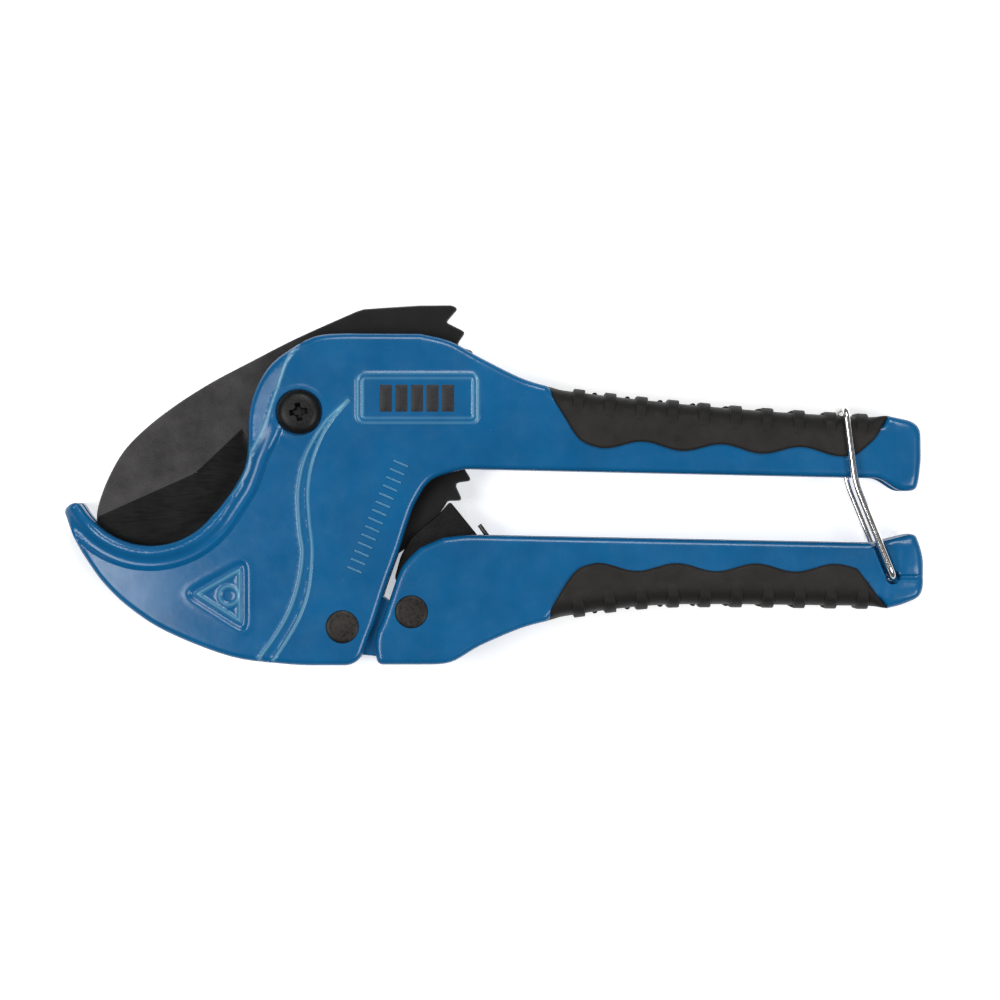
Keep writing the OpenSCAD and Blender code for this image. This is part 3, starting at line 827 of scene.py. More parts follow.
def swept_lines(points):
    """Two raised lines with a shallow channel between them."""
    front, _ = reach_to(points, line_front)
    rear, _ = reach_to(points, line_rear)
    band = within(points, np.concatenate([line_front, line_rear[::-1]]))
    sunk = np.where(band, -0.5 * ease(np.minimum(front, rear) / 0.9), 0)
    return sunk + crease(front, 0.3, 0.3) + crease(rear, 0.3, 0.3)


def screw_boss(points):
    around = np.linalg.norm(points - pivot, axis=1)
    return 0.15 * (1 - ease((around - boss_r + 0.6) / 1.1))


def upright(points):
    """One beside the name frame's upright sides, and a third beside its long sides."""
    gap = np.abs(points - plate_mid) - plate_half
    return 0.33 + 0.67 * ease((gap[:, 0] - gap[:, 1] + 1) / 2)


def name_frame(points):
    """A raised rectangular frame: an outer line, an inner line and a flat field."""
    out = rounded_box(points, plate_mid, plate_half, 2.4)
    field = 0.12 * (1 - ease((out + 0.2) / 0.8))
    lines = crease(out + 0.3, 0.24, 0.24) + crease(out + 1.6, 0.2, 0.22)
    return field + lines * upright(points)


def sign_frame(points):
    """A plain triangular frame with a ring in it."""
    out, side = reach_to(points, sign_line, closed=True)
    out = -out * side
    sunk = -0.55 * (1 - ease((out + 1.1) / 1.5))
    ring = crease(np.linalg.norm(points - sign_mid, axis=1) - 2.5, 0.45, 0.45)
    return sunk + crease(out - 0.55, 0.12, 0.6) + crease(out + 2.1, 0.5, 0.42) + ring


def tail_pad(points):
    """The pillow at the free end of the upper handle."""
    out = rounded_box(points, np.array([handle_reach - 5, -11.5]), np.array([4.5, 8.5]), 4)
    return 0.35 * (1 - ease((out + 2.5) / 4))


def head_front(points):
    relief = bead_relief(points) + jaw_slope(points) + swept_lines(points) + screw_boss(points)
    return mid_z + thickness(points) / 2 + relief + name_frame(points) + sign_frame(points) + tail_pad(points)


def head_back(points):
    relief = bead_relief(points) + jaw_slope(points) + swept_lines(points) + tail_pad(points)
    return mid_z - thickness(points) / 2 - relief


def head_wear_and_highlight(points):
    """The raised lines are painted pale: the enamel is rubbed there, and a painted highlight lies on them,
    stronger beside the name frame's upright sides than beside its long sides.
    """
    flat = points[:, :2]
    front, _ = reach_to(flat, line_front)
    rear, _ = reach_to(flat, line_rear)
    bead, _ = reach_to(flat, bead_line)
    plate = rounded_box(flat, plate_mid, plate_half, 2.4)
    sign, side = reach_to(flat, sign_line, closed=True)
    sign = -sign * side
    ring = np.linalg.norm(flat - sign_mid, axis=1) - 2.5
    frames = (crease(plate + 0.3, 0.9, 0.28) + crease(plate + 1.6, 0.8, 0.26)) * upright(flat)
    frames = frames + crease(sign + 2.1, 0.7, 0.38) + crease(ring, 0.6, 0.38)
    lines = crease(front, 0.9, 0.32) + crease(rear, 0.9, 0.32)
    lines = lines + crease(bead, 0.75, 0.4) * ease((flat[:, 1] + 24) / 8)
    outside = np.abs(np.abs(points[:, 2] - mid_z) - (head_front(flat) - mid_z)) < 0.45
    return (lines + frames * (points[:, 2] > mid_z)) * outside


# %% Skin of the head


def circles(centre, radii, turn):
    """Points on circles, one every turn degrees."""
    return np.array([polar(centre, r, a) for r in radii for a in range(0, 360, turn)])


close = (-0.65, -0.35, 0, 0.35, 0.65)
plate_line = rounded([plate_low, (plate_high[0], plate_low[1]), plate_high,
                      (plate_low[0], plate_high[1])], 2.2, 5)
head_rows = [rows_beside(bead_line, (5.6, 5.0, 4.65, 4.3, 3.6, 2.7, 1.9, 1.1, 0.5, 0, -1.6, -3.2, -4.8)),
             rows_beside(bead_line, (-0.5, -1.1, -1.9, -2.7, -3.6, -4.3, -4.65, -5.0, -5.4)),
             rows_beside(line_front, close), rows_beside(line_rear, close),
             rows_beside(plate_line, (-0.6, -0.25, 0, 0.3, 0.6, 1.0, 1.3, 1.6, 1.9, 2.3), 0.6, closed=True),
             rows_beside(sign_line, (-1.2, -0.55, 0, 0.4, 0.9, 1.3, 1.7, 2.1, 2.5, 3.0), 0.6, closed=True),
             circles(sign_mid, (1.6, 2.1, 2.5, 2.9, 3.4), 15),
             circles(pivot, [boss_r + d for d in (-0.6, -0.2, 0.2, 0.6, 1.0, 1.5)], 6)]
head = skin("cast_head", head_line, head_front, head_back, rim=1.5, step=0.85, edge_step=0.8,
            rows=head_rows, seam=0.12)
report(head)

# %% [markdown]
# ## Cutting the head
# The same rooms as in the CAD model are cut from the skin with Boolean modifiers: the blade's
# slot, the wider pocket for the lever's lug, the channel of the upper handle, and the bores and
# recesses of the screw, nut and lever pin. A closed skin lets the fast Manifold solver do it.

# %% Cut the head
slot_w = blade_t + 1.0
cheek, wall = 4.5, 3.0
pocket_w = head_t - 2 * cheek
channel_w = handle_t - 2 * wall
lever_eye_r = 7.0
slot_r = 50.3
rivet_r = radius_of("lever_pin")
rivet_h = 1.6
nut_low, nut_high = span("blade_nut")
nut_r = radius_of("blade_nut")
snug, play = 0.03, 0.06        # radial room round a pressed piece and round a turning one
screw_sink = head_t - 0.8


def hexagon(radius):
    return [polar(pivot, radius, a) for a in range(0, 360, 60)]


channel_back = [(x, upper_back(x) - grip_back - wall) for x in np.linspace(grip_end, grip_start, 6)]
head_tools = [
    round_tool(pivot, slot_r, mid_z - slot_w / 2, mid_z + slot_w / 2, count=160),
    round_tool(seat, seat_r + 4.4, mid_z - slot_w / 2, mid_z + slot_w / 2, count=128),
    round_tool(lever_at, lever_eye_r + 1.4, mid_z - pocket_w / 2, mid_z + pocket_w / 2),
    prism([lever_at + (-lever_eye_r - 1.4, 0), lever_at + (-1, -16), lever_at + (22, -16),
           lever_at + (34, 38), (34, -16), (20, -20), lever_at + (-3, 12)],
          mid_z - pocket_w / 2, mid_z + pocket_w / 2),
    prism([(slot_r + 1.5, -40), (handle_reach - 3, -40), (handle_reach - 3, -9), *channel_back,
           (slot_r + 1.5, upper_back(grip_start) - grip_back)],
          mid_z - channel_w / 2, mid_z + channel_w / 2),
    round_tool(pivot, bush_r, -1, head_t + 1),
    round_tool(pivot, screw_head_r + 0.4, screw_sink, head_t + 2),
    prism(hexagon(nut_r + 0.15), -1, nut_high[2]),
    round_tool(lever_at, rivet_r - 1.3, -1, head_t + 1),
    round_tool(lever_at, rivet_r + snug, -1, rivet_h),
    round_tool(lever_at, rivet_r + snug, head_t - rivet_h, head_t + 1)]
combine(head, head_tools)
dress(head, head_paint)
# Pale paint on the head's raised lines: rubbed enamel and a painted highlight, stronger on upright sides.
mark(head, "wear", head_wear_and_highlight)
place(head, "frame", "painted_blue", "frame_body")

# %% [markdown]
# ## Lower handle
# The lever is a second casting of the same kind. Its front wraps the pawl's pin, its lug goes
# between the head's cheeks, and its free end has two soft pads with a groove between them and a
# deeper groove where the latch wire lies. The same skin builder makes it.

# %% Lower handle outline


def lower_back(x):
    """The grip's back line along the lower handle."""
    x = np.asarray(x, float)
    return (-55.2 + 3.9 * np.sin(np.radians(90 * np.clip((x - grip_start) / 38, 0, 1)))
            - 0.5 * np.maximum(x - 115, 0) / 40)


def lower_top(x):
    """The edge of the lever that faces the upper handle."""
    return -32.4 - 0.02 * (x - 43)


lever_front = curve([(31.8, -35.8), (28.3, -39.3), (26.3, -42.5), (24.1, -48.7), lever_at + (10.5, 1.6),
                     lever_at + (9.1, -1.5), lever_at + (8.6, -5), lever_at + (9.1, -9),
                     lever_at + (10.4, -10.05)], 5)
lever_belly = curve([(32, head_bottom + 0.2), (39.9, head_bottom + 0.8), (47.8, -61.7), (58.3, -57.2),
                     (grip_start, float(lower_back(grip_start)))], 5)
over_grip = [(x, float(lower_back(x)) + grip_back) for x in np.linspace(grip_start + 2.5, grip_end - 3, 9)]
lever_tail = [(grip_end - lower_lean, float(lower_back(grip_end)) + grip_back),
              *rounded([(grip_end + 0.1, float(lower_back(grip_end))), (handle_reach - 6, -51),
                      (handle_reach - 1.2, -49), (handle_reach, -46.5), (handle_reach, -38.5),
                      (handle_reach - 1.1, lower_top(handle_reach) + 0.2),
                      (handle_reach - 2.2, lower_top(handle_reach) + 2.9),
                      (handle_reach - 6.4, lower_top(handle_reach) + 1.9),
                      (handle_reach - 12.8, lower_top(handle_reach - 12.8)), (50, lower_top(50)),
                      (44, lower_top(44)), (38, lower_top(44) - 0.7)], 1.8, steps=5, closed=False)]
lever_line = [tuple(p) for p in [*lever_front, *lever_belly, *over_grip, *lever_tail]]
wire_groove = np.array([latch_at + (-5.4, 13), latch_at + (-0.9, 1.7), latch_at])
end_groove = np.array([latch_at + (2.4, 0), latch_at + (12, 0)])


def lever_relief(points):
    """Grooves and pads at the free end."""
    along, _ = reach_to(points, wire_groove)
    across, _ = reach_to(points, end_groove)
    upper_pad = rounded_box(points, latch_at + (4.6, 5.2), np.array([3.4, 5.0]), 2.6)
    lower_pad = rounded_box(points, latch_at + (3.0, -4.2), np.array([5.4, 3.0]), 2.6)
    pads = 0.45 * (1 - ease((np.minimum(upper_pad, lower_pad) + 2.2) / 2.8))
    deep = -2.1 * (1 - ease((along - 0.95) / 0.6)) + crease(along - 1.75, 0.16, 0.4)
    shallow = -0.5 * (1 - ease((across - 0.15) / 0.6)) * ease((points[:, 0] - latch_at[0] - 1.2) / 1.2)
    return pads + deep + shallow


def lever_top_skin(points):
    return mid_z + handle_t / 2 + lever_relief(points)


def lever_back_skin(points):
    return mid_z - handle_t / 2 - lever_relief(points)


# %% Lower handle
beside_wire = (-2.2, -1.75, -1.5, -1.2, -0.95, -0.4, 0, 0.4, 0.95, 1.2, 1.5, 1.75, 2.2)
beside_groove = (-1.0, -0.75, -0.45, -0.15, 0.15, 0.45, 0.75, 1.0)
lever_rows = [rows_beside(wire_groove, beside_wire, 0.5), rows_beside(end_groove, beside_groove, 0.5)]
lever = skin("cast_lever", lever_line, lever_top_skin, lever_back_skin, rim=1.5, step=0.95,
             edge_step=0.8, rows=lever_rows, seam=0.12)
pawl_front = pawl_at[0] - 4.9
channel_floor = [(x, float(lower_back(x)) + grip_back + wall)
                 for x in np.linspace(grip_start, grip_end - 12, 6)]
lever_channel = [(20, -20), (20, lever_at[1] + 9), (pawl_front, lever_at[1] + 7.5),
                 (pawl_front, head_bottom + 4), (29, head_bottom + 3), (39, head_bottom + 3.8), (47, -58.5),
                 (58, -53.6), *channel_floor, (grip_end - 6, -20)]
combine(lever, [prism(lever_channel, mid_z - channel_w / 2, mid_z + channel_w / 2)])
lug_t = pocket_w - 0.6
lug_line = [tuple(p) for p in [*arc(lever_at, lever_eye_r, 70, 270, 24), lever_at + (11.5, -8.2),
                               lever_at + (13, -6), lever_at + (13, 6), lever_at + (9, 9)]]
combine(lever, [prism(lug_line, mid_z - lug_t / 2, mid_z + lug_t / 2)], "UNION")
ears = [lever_at + (-20, -5.4), lever_at + (14.5, -5.4), lever_at + (14.5, 7.6), lever_at + (-20, 7.6)]
pawl_rivet_r = radius_of("pawl_pin")
lever_pin_r = 3.0
pawl_pin_r = 2.5
combine(lever, [prism(ears, mid_z - 2.3, mid_z + 2.3),
                round_tool(lever_at, lever_pin_r + play, -1, head_t + 1),
                round_tool(pawl_at, pawl_pin_r, -1, head_t + 1),
                round_tool(pawl_at, pawl_rivet_r + snug, -1, lever_low[2] + rivet_h),
                round_tool(pawl_at, pawl_rivet_r + snug, lever_high[2] - rivet_h, head_t + 1),
                round_tool(latch_at, 1.1, -5, head_t + 5, 32),
                round_tool(latch_at, 1.95, -5, lever_low[2] + 2.6, 40),
                round_tool(latch_at, 1.95, lever_high[2] - 2.6, head_t + 5, 40)])
dress(lever, lever_paint)
place(lever, "lever", "lever_blue", "lower_handle")

# %% [markdown]
# ## Geometry Nodes helpers
# Wires, ribs and pips follow lines, so they are made by Geometry Nodes. One tree sweeps a round
# wire along a path, one sweeps a flat strip, and one sets copies of a shape along a line at an
# even pitch. Each tree ends in Realize Instances and Set Material. Its inputs have names, and a
# modifier's inputs are set by the sockets' identifiers before it is first evaluated.

# %% Build the trees


def start_tree(name, inputs):
    """An empty tree with named inputs; returns it with its first and last node."""
    tree = bpy.data.node_groups.new(name, "GeometryNodeTree")
    tree.interface.new_socket("Path", in_out="INPUT", socket_type="NodeSocketGeometry")
    for label, kind, value in inputs:
        socket = tree.interface.new_socket(label, in_out="INPUT", socket_type="NodeSocket" + kind)
        if value is not None:
            socket.default_value = value
    tree.interface.new_socket("Geometry", in_out="OUTPUT", socket_type="NodeSocketGeometry")
    start = tree.nodes.new("NodeGroupInput")
    end = tree.nodes.new("NodeGroupOutput")
    return tree, start, end


def add(tree, kind, **sources):
    """A node whose inputs are fed by other nodes' outputs, each under the input's name."""
    node = tree.nodes.new(kind)
    for label, output in sources.items():
        tree.links.new(output, node.inputs[label.replace("_", " ")])
    return node


def finish_tree(tree, start, end, shape):
    """Realize Instances and Set Material, then the output."""
    real = add(tree, "GeometryNodeRealizeInstances", Geometry=shape)
    paint = add(tree, "GeometryNodeSetMaterial", Geometry=real.outputs["Geometry"],
                Material=start.outputs["Material"])
    tree.links.new(paint.outputs["Geometry"], end.inputs["Geometry"])
    return tree


def sweep(tree, start, end, profile):
    """Sweeps a profile along the path and ends the tree."""
    path = add(tree, "GeometryNodeMeshToCurve", Mesh=start.outputs["Path"])
    solid = add(tree, "GeometryNodeCurveToMesh", Curve=path.outputs["Curve"], Profile_Curve=profile)
    solid.inputs["Fill Caps"].default_value = True
    return finish_tree(tree, start, end, solid.outputs["Mesh"])


def wire_tree():
    """A round wire along the path."""
    tree, start, end = start_tree("round_wire", [("Radius", "Float", 0.001), ("Sides", "Int", 20),
                                                 ("Material", "Material", None)])
    ring = add(tree, "GeometryNodeCurvePrimitiveCircle", Radius=start.outputs["Radius"],
               Resolution=start.outputs["Sides"])
    return sweep(tree, start, end, ring.outputs["Curve"])


def strip_tree():
    """A flat strip with rounded corners along the path."""
    tree, start, end = start_tree("flat_strip", [("Width", "Float", 0.003), ("Height", "Float", 0.001),
                                                 ("Corner", "Float", 0.0004), ("Material", "Material", None)])
    box = add(tree, "GeometryNodeCurvePrimitiveQuadrilateral", Width=start.outputs["Width"],
              Height=start.outputs["Height"])
    soft = add(tree, "GeometryNodeFilletCurve", Curve=box.outputs["Curve"], Radius=start.outputs["Corner"])
    soft.mode = "POLY"
    soft.inputs["Count"].default_value = 3
    return sweep(tree, start, end, soft.outputs["Curve"])


def along_tree():
    """Copies of a shape along the path at an even pitch, turned with it."""
    tree, start, end = start_tree("along_line", [("Shape", "Object", None), ("Count", "Int", 10),
                                                 ("Material", "Material", None)])
    path = add(tree, "GeometryNodeMeshToCurve", Mesh=start.outputs["Path"])
    even = add(tree, "GeometryNodeResampleCurve", Curve=path.outputs["Curve"], Count=start.outputs["Count"])
    tangent = add(tree, "GeometryNodeInputTangent")
    turn = add(tree, "FunctionNodeAlignRotationToVector", Vector=tangent.outputs["Tangent"])
    turn.axis = "X"
    turn.pivot_axis = "Z"
    shape = add(tree, "GeometryNodeObjectInfo", Object=start.outputs["Shape"])
    copies = add(tree, "GeometryNodeInstanceOnPoints", Points=even.outputs["Curve"],
                 Instance=shape.outputs["Geometry"], Rotation=turn.outputs["Rotation"])
    return finish_tree(tree, start, end, copies.outputs["Instances"])


round_wire, flat_strip, along_line = wire_tree(), strip_tree(), along_tree()


def follow(name, tree, points, **inputs):
    """Runs a tree on a path of millimetre points and returns the plain mesh as a piece."""
    mesh = bpy.data.meshes.new(name)
    verts = [tuple(float(c) * MM for c in p) for p in points]
    mesh.from_pydata(verts, [(k, k + 1) for k in range(len(verts) - 1)], [])
    piece = bpy.data.objects.new(name, mesh)
    bpy.context.scene.collection.objects.link(piece)
    ids = {s.name: s.identifier for s in tree.interface.items_tree if s.in_out == "INPUT"}
    step = piece.modifiers.new(tree.name, "NODES")
    step.node_group = tree
    for label, value in inputs.items():
        step[ids[label]] = value
    bpy.context.view_layer.update()
    return settle(piece)


def wire(name, points, radius, material, sides=20):
    piece = follow(name, round_wire, points, Radius=radius * MM, Sides=sides, Material=material)
    return smooth(faces_outward(piece), 50)


print("trees:", [t.name for t in bpy.data.node_groups])

# %% [markdown]
# ## Rubber grips
# Each grip is a sleeve moulded over the back of its handle. Its edge on the side of the handle
# is wavy, its back is well rounded, and ribs wrap that round back with a row of small pips
# between each pair. The sleeve is a skin, and the room for the handle is cut from it.

# %% Grip outlines
wave_pitch = 20.9
wave_h = 1.05
rib_pitch = 8.3
back_round = 4.6
valley = 0.5
bite = 0.06                    # how far a grip reaches into its handle, so that no seam opens
rib_first = grip_start + 8.5
rib_count = 1 + int((grip_end - 4 - rib_first) / rib_pitch)


def wave(start, end, y_start, y_end, crest):
    """The grip's wavy edge along the side of the handle."""
    x = np.linspace(start, end, 60)
    y = y_start + (y_end - y_start) * (x - start) / (end - start)
    return list(zip(x, y + wave_h * np.cos(2 * np.pi * (x - crest) / wave_pitch)))


def hollow(x):
    """How far the back lies below its ends, so that the ribs stand out."""
    return valley * ease((x - grip_start) / 4) * ease((grip_end - x) / 4)


def high_line(x):
    return upper_back(x) - hollow(x)


def low_line(x):
    return lower_back(x) + hollow(x)


upper_wave = wave(grip_start + 14, grip_end - 8, -8.5, -10.8, 90.6)
upper_sleeve = [*curve([(grip_start, float(upper_back(grip_start))), (grip_start + 1.7, 3.3),
                        (grip_start + 4, -0.4), (grip_start + 7.6, -6.2), (grip_start + 10.4, -8.4),
                        upper_wave[0]], 4)[:-1], *upper_wave[:-1],
                *curve([upper_wave[-1], (grip_end - 3.4, -7), (grip_end - 0.9, -2.8),
                        (grip_end, float(upper_back(grip_end)))], 4),
                *[(x, float(high_line(x))) for x in np.linspace(grip_end, grip_start, 60)[1:-1]]]
lower_wave = wave(grip_start + 13, grip_end - 8, -40.8, -41.1, 120.5)
lower_sleeve = [*[(x, float(low_line(x))) for x in np.linspace(grip_start, grip_end, 60)],
                *curve([(grip_end, float(lower_back(grip_end))), (grip_end - 0.8, -50.8),
                        (grip_end - 2.2, -49), (grip_end - 4.8, -45.4), lower_wave[-1]], 4)[1:-1],
                *lower_wave[::-1],
                *curve([lower_wave[0], (grip_start + 8.7, -41), (grip_start + 5.7, -44),
                        (grip_start + 2.8, -48.7), (grip_start + 1.0, -52),
                        (grip_start, float(lower_back(grip_start)))], 4)[1:-1]]

# %% Grips with ribs and pips


def rib_path(outward):
    """A rib's middle line round a grip's back, from the front side to the back side."""
    flat = grip_t / 2 - back_round
    quarter = [(-back_round - 1.5, flat + back_round - 1.0), (-back_round - 0.7, flat + back_round - 0.56)]
    for angle in (0, 10, 20, 30, 42, 54, 66, 78, 90):
        turn = math.radians(angle)
        lift = min(back_round + 0.85, (back_round + 0.08) / max(math.cos(turn), 0.1)) - 0.6
        quarter.append((-back_round + lift * math.sin(turn), flat + lift * math.cos(turn)))
    ring = quarter + [(y, -z) for y, z in reversed(quarter)]
    return [(0, outward * y, z) for y, z in ring]


def on_back(back_line, xs, z):
    """Points on a grip's back line at a height."""
    return [(x, float(np.interp(x, back_line[:, 0], back_line[:, 1])), z) for x in xs]


def turn_to_back(outward):
    """Turns a shape that stands up along Z so that it stands out from the grip's back."""
    return Matrix.Rotation(math.radians(-90 * outward), 4, "X")


def grip(name, node, outline, back_line, room, outward, body):
    """A sleeve with a rounded back, its ribs and pips joined to it, and room for its handle."""

    def drop(points):
        far, _ = reach_to(points, back_line)
        full = 1 - 0.85 * ease((points[:, 0] - grip_end + 6) / 5)
        return rim_drop(np.maximum(far, 0.03), back_round) * full

    offsets = [back_round * s for s in (0.02, 0.08, 0.17, 0.3, 0.45, 0.62, 0.8, 1.0)]
    rows = [rows_beside(back_line, offsets + [-d for d in offsets], 0.9)]
    piece = skin(name, outline, lambda p: mid_z + grip_t / 2 - drop(p),
                 lambda p: mid_z - grip_t / 2 + drop(p), rim=0.8, step=1.1, edge_step=0.9, rows=rows)
    start, end = rib_first, rib_first + rib_pitch * (rib_count - 1)
    along = on_back(back_line, np.linspace(start, end, 60), mid_z)
    rib = follow("rib", flat_strip, rib_path(outward), Width=3.1 * MM, Height=1.2 * MM, Corner=0.36 * MM,
                 Material=grip_rubber)
    faces_outward(rib)
    ribs = follow("ribs", along_line, along, Shape=rib, Count=rib_count, Material=grip_rubber)
    pip = lathe("pip", (0, 0), [(0, -0.5), (0.5, -0.5), (0.7, 0), (0.62, 0.28), (0.36, 0.5), (0, 0.58)],
                count=12)
    pip.data.transform(turn_to_back(outward))
    tools = [ribs]
    for z in (-3.2, 0, 3.2):
        shifted = [x + rib_pitch / 2 for x, _, _ in along]
        pip_line = on_back(back_line, [x for x in shifted if x < end], mid_z + z)
        tools.append(follow("pips", along_line, pip_line, Shape=pip, Count=rib_count - 1,
                            Material=grip_rubber))
    remove(rib, pip)
    combine(piece, tools, "UNION")
    inside = handle_t / 2 - bite
    combine(piece, [prism(room, mid_z - inside, mid_z + inside)])
    dress(piece, grip_rubber, angle=38)
    # Painted shade on the rounded back, within about 3 to 6 mm of the back line.
    mark(piece, "shade", lambda p: 1 - ease((reach_to(p[:, :2], back_line)[0] - 3.2) / 2.4))
    return place(piece, body, "grip_rubber", node)


xs = np.linspace(grip_start, grip_end, 40)
upper_line = np.array([(x, float(high_line(x))) for x in xs])
lower_line = np.array([(x, float(low_line(x))) for x in xs])
under_xs = np.linspace(grip_start + 2.5, grip_end - 3, 9)
upper_room = [(grip_start - 2, 12), (grip_start, float(upper_back(grip_start)) + 0.02),
              *[(x, float(upper_back(x)) - grip_back - bite) for x in under_xs],
              (grip_end - upper_lean - bite, float(upper_back(grip_end)) - grip_back),
              (grip_end + 0.04, float(upper_back(grip_end)) + 0.02), (grip_end + 3, 3), (grip_end + 3, -22),
              (grip_start - 2, -22)]
lower_room = [(grip_start - 2, -60), (grip_start, float(lower_back(grip_start)) - 0.02),
              *[(x, float(lower_back(x)) + grip_back + bite) for x in under_xs],
              (grip_end - lower_lean - bite, float(lower_back(grip_end)) + grip_back),
              (grip_end + 0.04, float(lower_back(grip_end)) - 0.02), (grip_end + 3, -58), (grip_end + 3, -30),
              (grip_start - 2, -30)]
grip("upper_sleeve", "upper_grip", upper_sleeve, upper_line, upper_room, 1, "frame")
grip("lower_sleeve", "lower_grip", lower_sleeve, lower_line, lower_room, -1, "lever")

# %% [markdown]
# ## Blade
# The blade is one steel plate. Its spine and nose are smooth curves, its edge follows the pipe's
# seat a little below it, and its rear is a ring of ratchet teeth about the pivot, made by a loop.
# Two flat grinds meet along the edge, the second one steeper at the heel, and the plate's flat
# keeps its sandy coat. The thickness at a point is the least that the grinds leave.

# %% Blade outline
tooth_tip_r = 48.5
tooth_depth = 2.9
tooth_pitch = 6.84
tooth_first = 25.6
tooth_count = 9
edge_r = seat_r + 3.2
blade_bevel = 15.0


def tooth(k):
    """One ratchet tooth counted from the top: its back, its tip and its root below."""
    a = tooth_first - k * tooth_pitch
    root = tooth_tip_r - tooth_depth
    return [polar(pivot, tooth_tip_r - 0.15, a + 1.2), polar(pivot, tooth_tip_r, a + 0.3),
            polar(pivot, root, a - 1.8), polar(pivot, root, a - 3)]


tooth_ring = [q for k in range(tooth_count - 1, -1, -1) for q in reversed(tooth(k))]
rear_arc = arc(pivot, tooth_tip_r - tooth_depth, -57, -33.6, 10)
ratchet = rounded([*tooth_ring, polar(pivot, 45.5, 31.9), (41.8, 27.7), (40.3, 28.6), (31.7, 28.5)],
                  0.85, steps=5, closed=False)
spine = [(22, 27.9), *curve([(16.9, 27.55), (15.4, 27.1), (13.2, 26.2), (-1.1, 19.8), (-13.4, 13.5),
                             (-23.6, 8.1), (-32.8, 2.3), (-41, -4), (-47.1, -10.3), (-51.2, -17.5),
                             (-53.5, -23.6), (-54.2, -27.4), polar(seat, edge_r - 2, 229)], 5)]
heel_edge = curve([polar(seat, edge_r, 296), polar(seat, edge_r - 0.6, 315), (-14, -28), (-3, -24.5),
                   (8, -21)], 5)
cutting_edge = [*arc(seat, edge_r, 233, 296, 24), *heel_edge[1:]]
blade_line = [tuple(p) for p in [*rear_arc, *ratchet, *spine, *cutting_edge]]
main_grind = np.array([(-58.0, -29.45), (-28.6, -16.3)])
heel_grind = np.array([(-28.6, -16.3), (-26.4, -14.5), (-15.7, -4.3)])
grind_end = np.array([(-15.7, -4.3), (2, -25)])


def below(points, start, end):
    """Distance to the right of the line from start to end, below zero to its left."""
    along = (end - start) / np.linalg.norm(end - start)
    gap = points - start
    return gap[:, 1] * -along[0] + gap[:, 0] * along[1]


def grind_depth(points):
    """How much each side of the blade has been ground away."""
    slope = (blade_t / 2 - 0.12) / blade_bevel
    main = slope * below(points, main_grind[0], main_grind[1])
    heel = slope * 1.15 * below(points, heel_grind[1], heel_grind[2])
    end = 0.3 * below(points, grind_end[0], grind_end[1])
    return np.clip(np.minimum(np.maximum(main, heel), end), 0, blade_t / 2 - 0.12)


beside_grind = (-0.5, -0.02, 0.02, 0.5)
blade_rows = [rows_beside(line, beside_grind, 0.6) for line in (main_grind, heel_grind, grind_end)]
blade = skin("ratchet_blade", blade_line, lambda p: mid_z + blade_t / 2 - grind_depth(p),
             lambda p: mid_z - blade_t / 2 + grind_depth(p), rim=0.3, step=1.3, edge_step=0.45,
             rows=blade_rows)
combine(blade, [round_tool(pivot, bush_r + play, -1, head_t + 1)])
dress(blade, blade_coat, blade_ground, angle=25)
centres = np.array([tuple(f.center) for f in blade.data.polygons])[:, :2] / MM
blade.data.polygons.foreach_set("material_index", (grind_depth(centres) > 0.004).astype(np.int32))
blade_rim = np.array(blade_line)
# The blade's whole rim is painted paler: partly rubbed steel, partly a painted highlight.
mark(blade, "wear", lambda p: crease(reach_to(p[:, :2], blade_rim, closed=True)[0], 0.35, 0.22))
place(blade, "blade", "blade_steel", "blade")

# %% [markdown]
# ## Pawl
# The pawl is a steel stirrup folded round the blade's rear edge. Its two sides straddle the
# blade, the web between them pushes on a tooth, and the foot turns on the pawl's pin.

# %% Pawl
pawl_gap = blade_t + 0.8
pawl_w = pawl_gap + 3.0
pawl_side = ((-4.1, 1.8), (-4.4, -1), (-3, -3.3), (0, -4.5), (3.6, -3.6), (8, -1.5), (17.6, 19.9),
             (10.1, 29.1), (7.7, 26.3), (-0.3, 19.5), (-3, 14.5), (-4.6, 8.7), (-2.4, 5.4))
pawl_line = rounded([pawl_at + q for q in pawl_side], 0.9, 4)
between_sides = ((-20, -20), (6, -20), (6.3, -2), (15.9, 19.5), (8.9, 28.2), (8, 34), (-20, 34))
pawl_room = [pawl_at + q for q in between_sides]
pawl = skin("stirrup_pawl", pawl_line, lambda p: np.full(len(p), mid_z + pawl_w / 2),
            lambda p: np.full(len(p), mid_z - pawl_w / 2), rim=0.4, step=1.4, edge_step=0.6)
combine(pawl, [round_tool(pivot, 50.2, mid_z - pawl_gap / 2, mid_z + pawl_gap / 2, count=160),
               prism(pawl_room, mid_z - pawl_gap / 2, mid_z + pawl_gap / 2),
               round_tool(pawl_at, pawl_pin_r + play, -1, head_t + 1)])
dress(pawl, pawl_steel, angle=30)
place(pawl, "pawl", "black_steel", "pawl")

# %% [markdown]
# ## Screw, nut and rivets
# The pivot is a cross-recessed machine screw with a chamfered pan head, held by a hexagon nut
# with a nylon locking ring. The lever and pawl turn on rivets with low domed heads. All are
# turned shapes, so they are lathed from a profile, and the recess and flats are cut.

# %% Screw and nut


def wedge_bar(angle, top, bottom):
    """A tapered bar for one arm pair of the cross recess; top and bottom are (length, width, z)."""
    c, s = math.cos(math.radians(angle)), math.sin(math.radians(angle))
    verts = []
    for length, width, z in (bottom, top):
        for x, y in ((-1, -1), (1, -1), (1, 1), (-1, 1)):
            px, py = x * length / 2, y * width / 2
            verts.append((px * c - py * s, px * s + py * c, z))
    faces = [(3, 2, 1, 0), (4, 5, 6, 7), (0, 1, 5, 4), (1, 2, 6, 5), (2, 3, 7, 6), (3, 0, 4, 7)]
    return new_piece("tool", verts, faces)


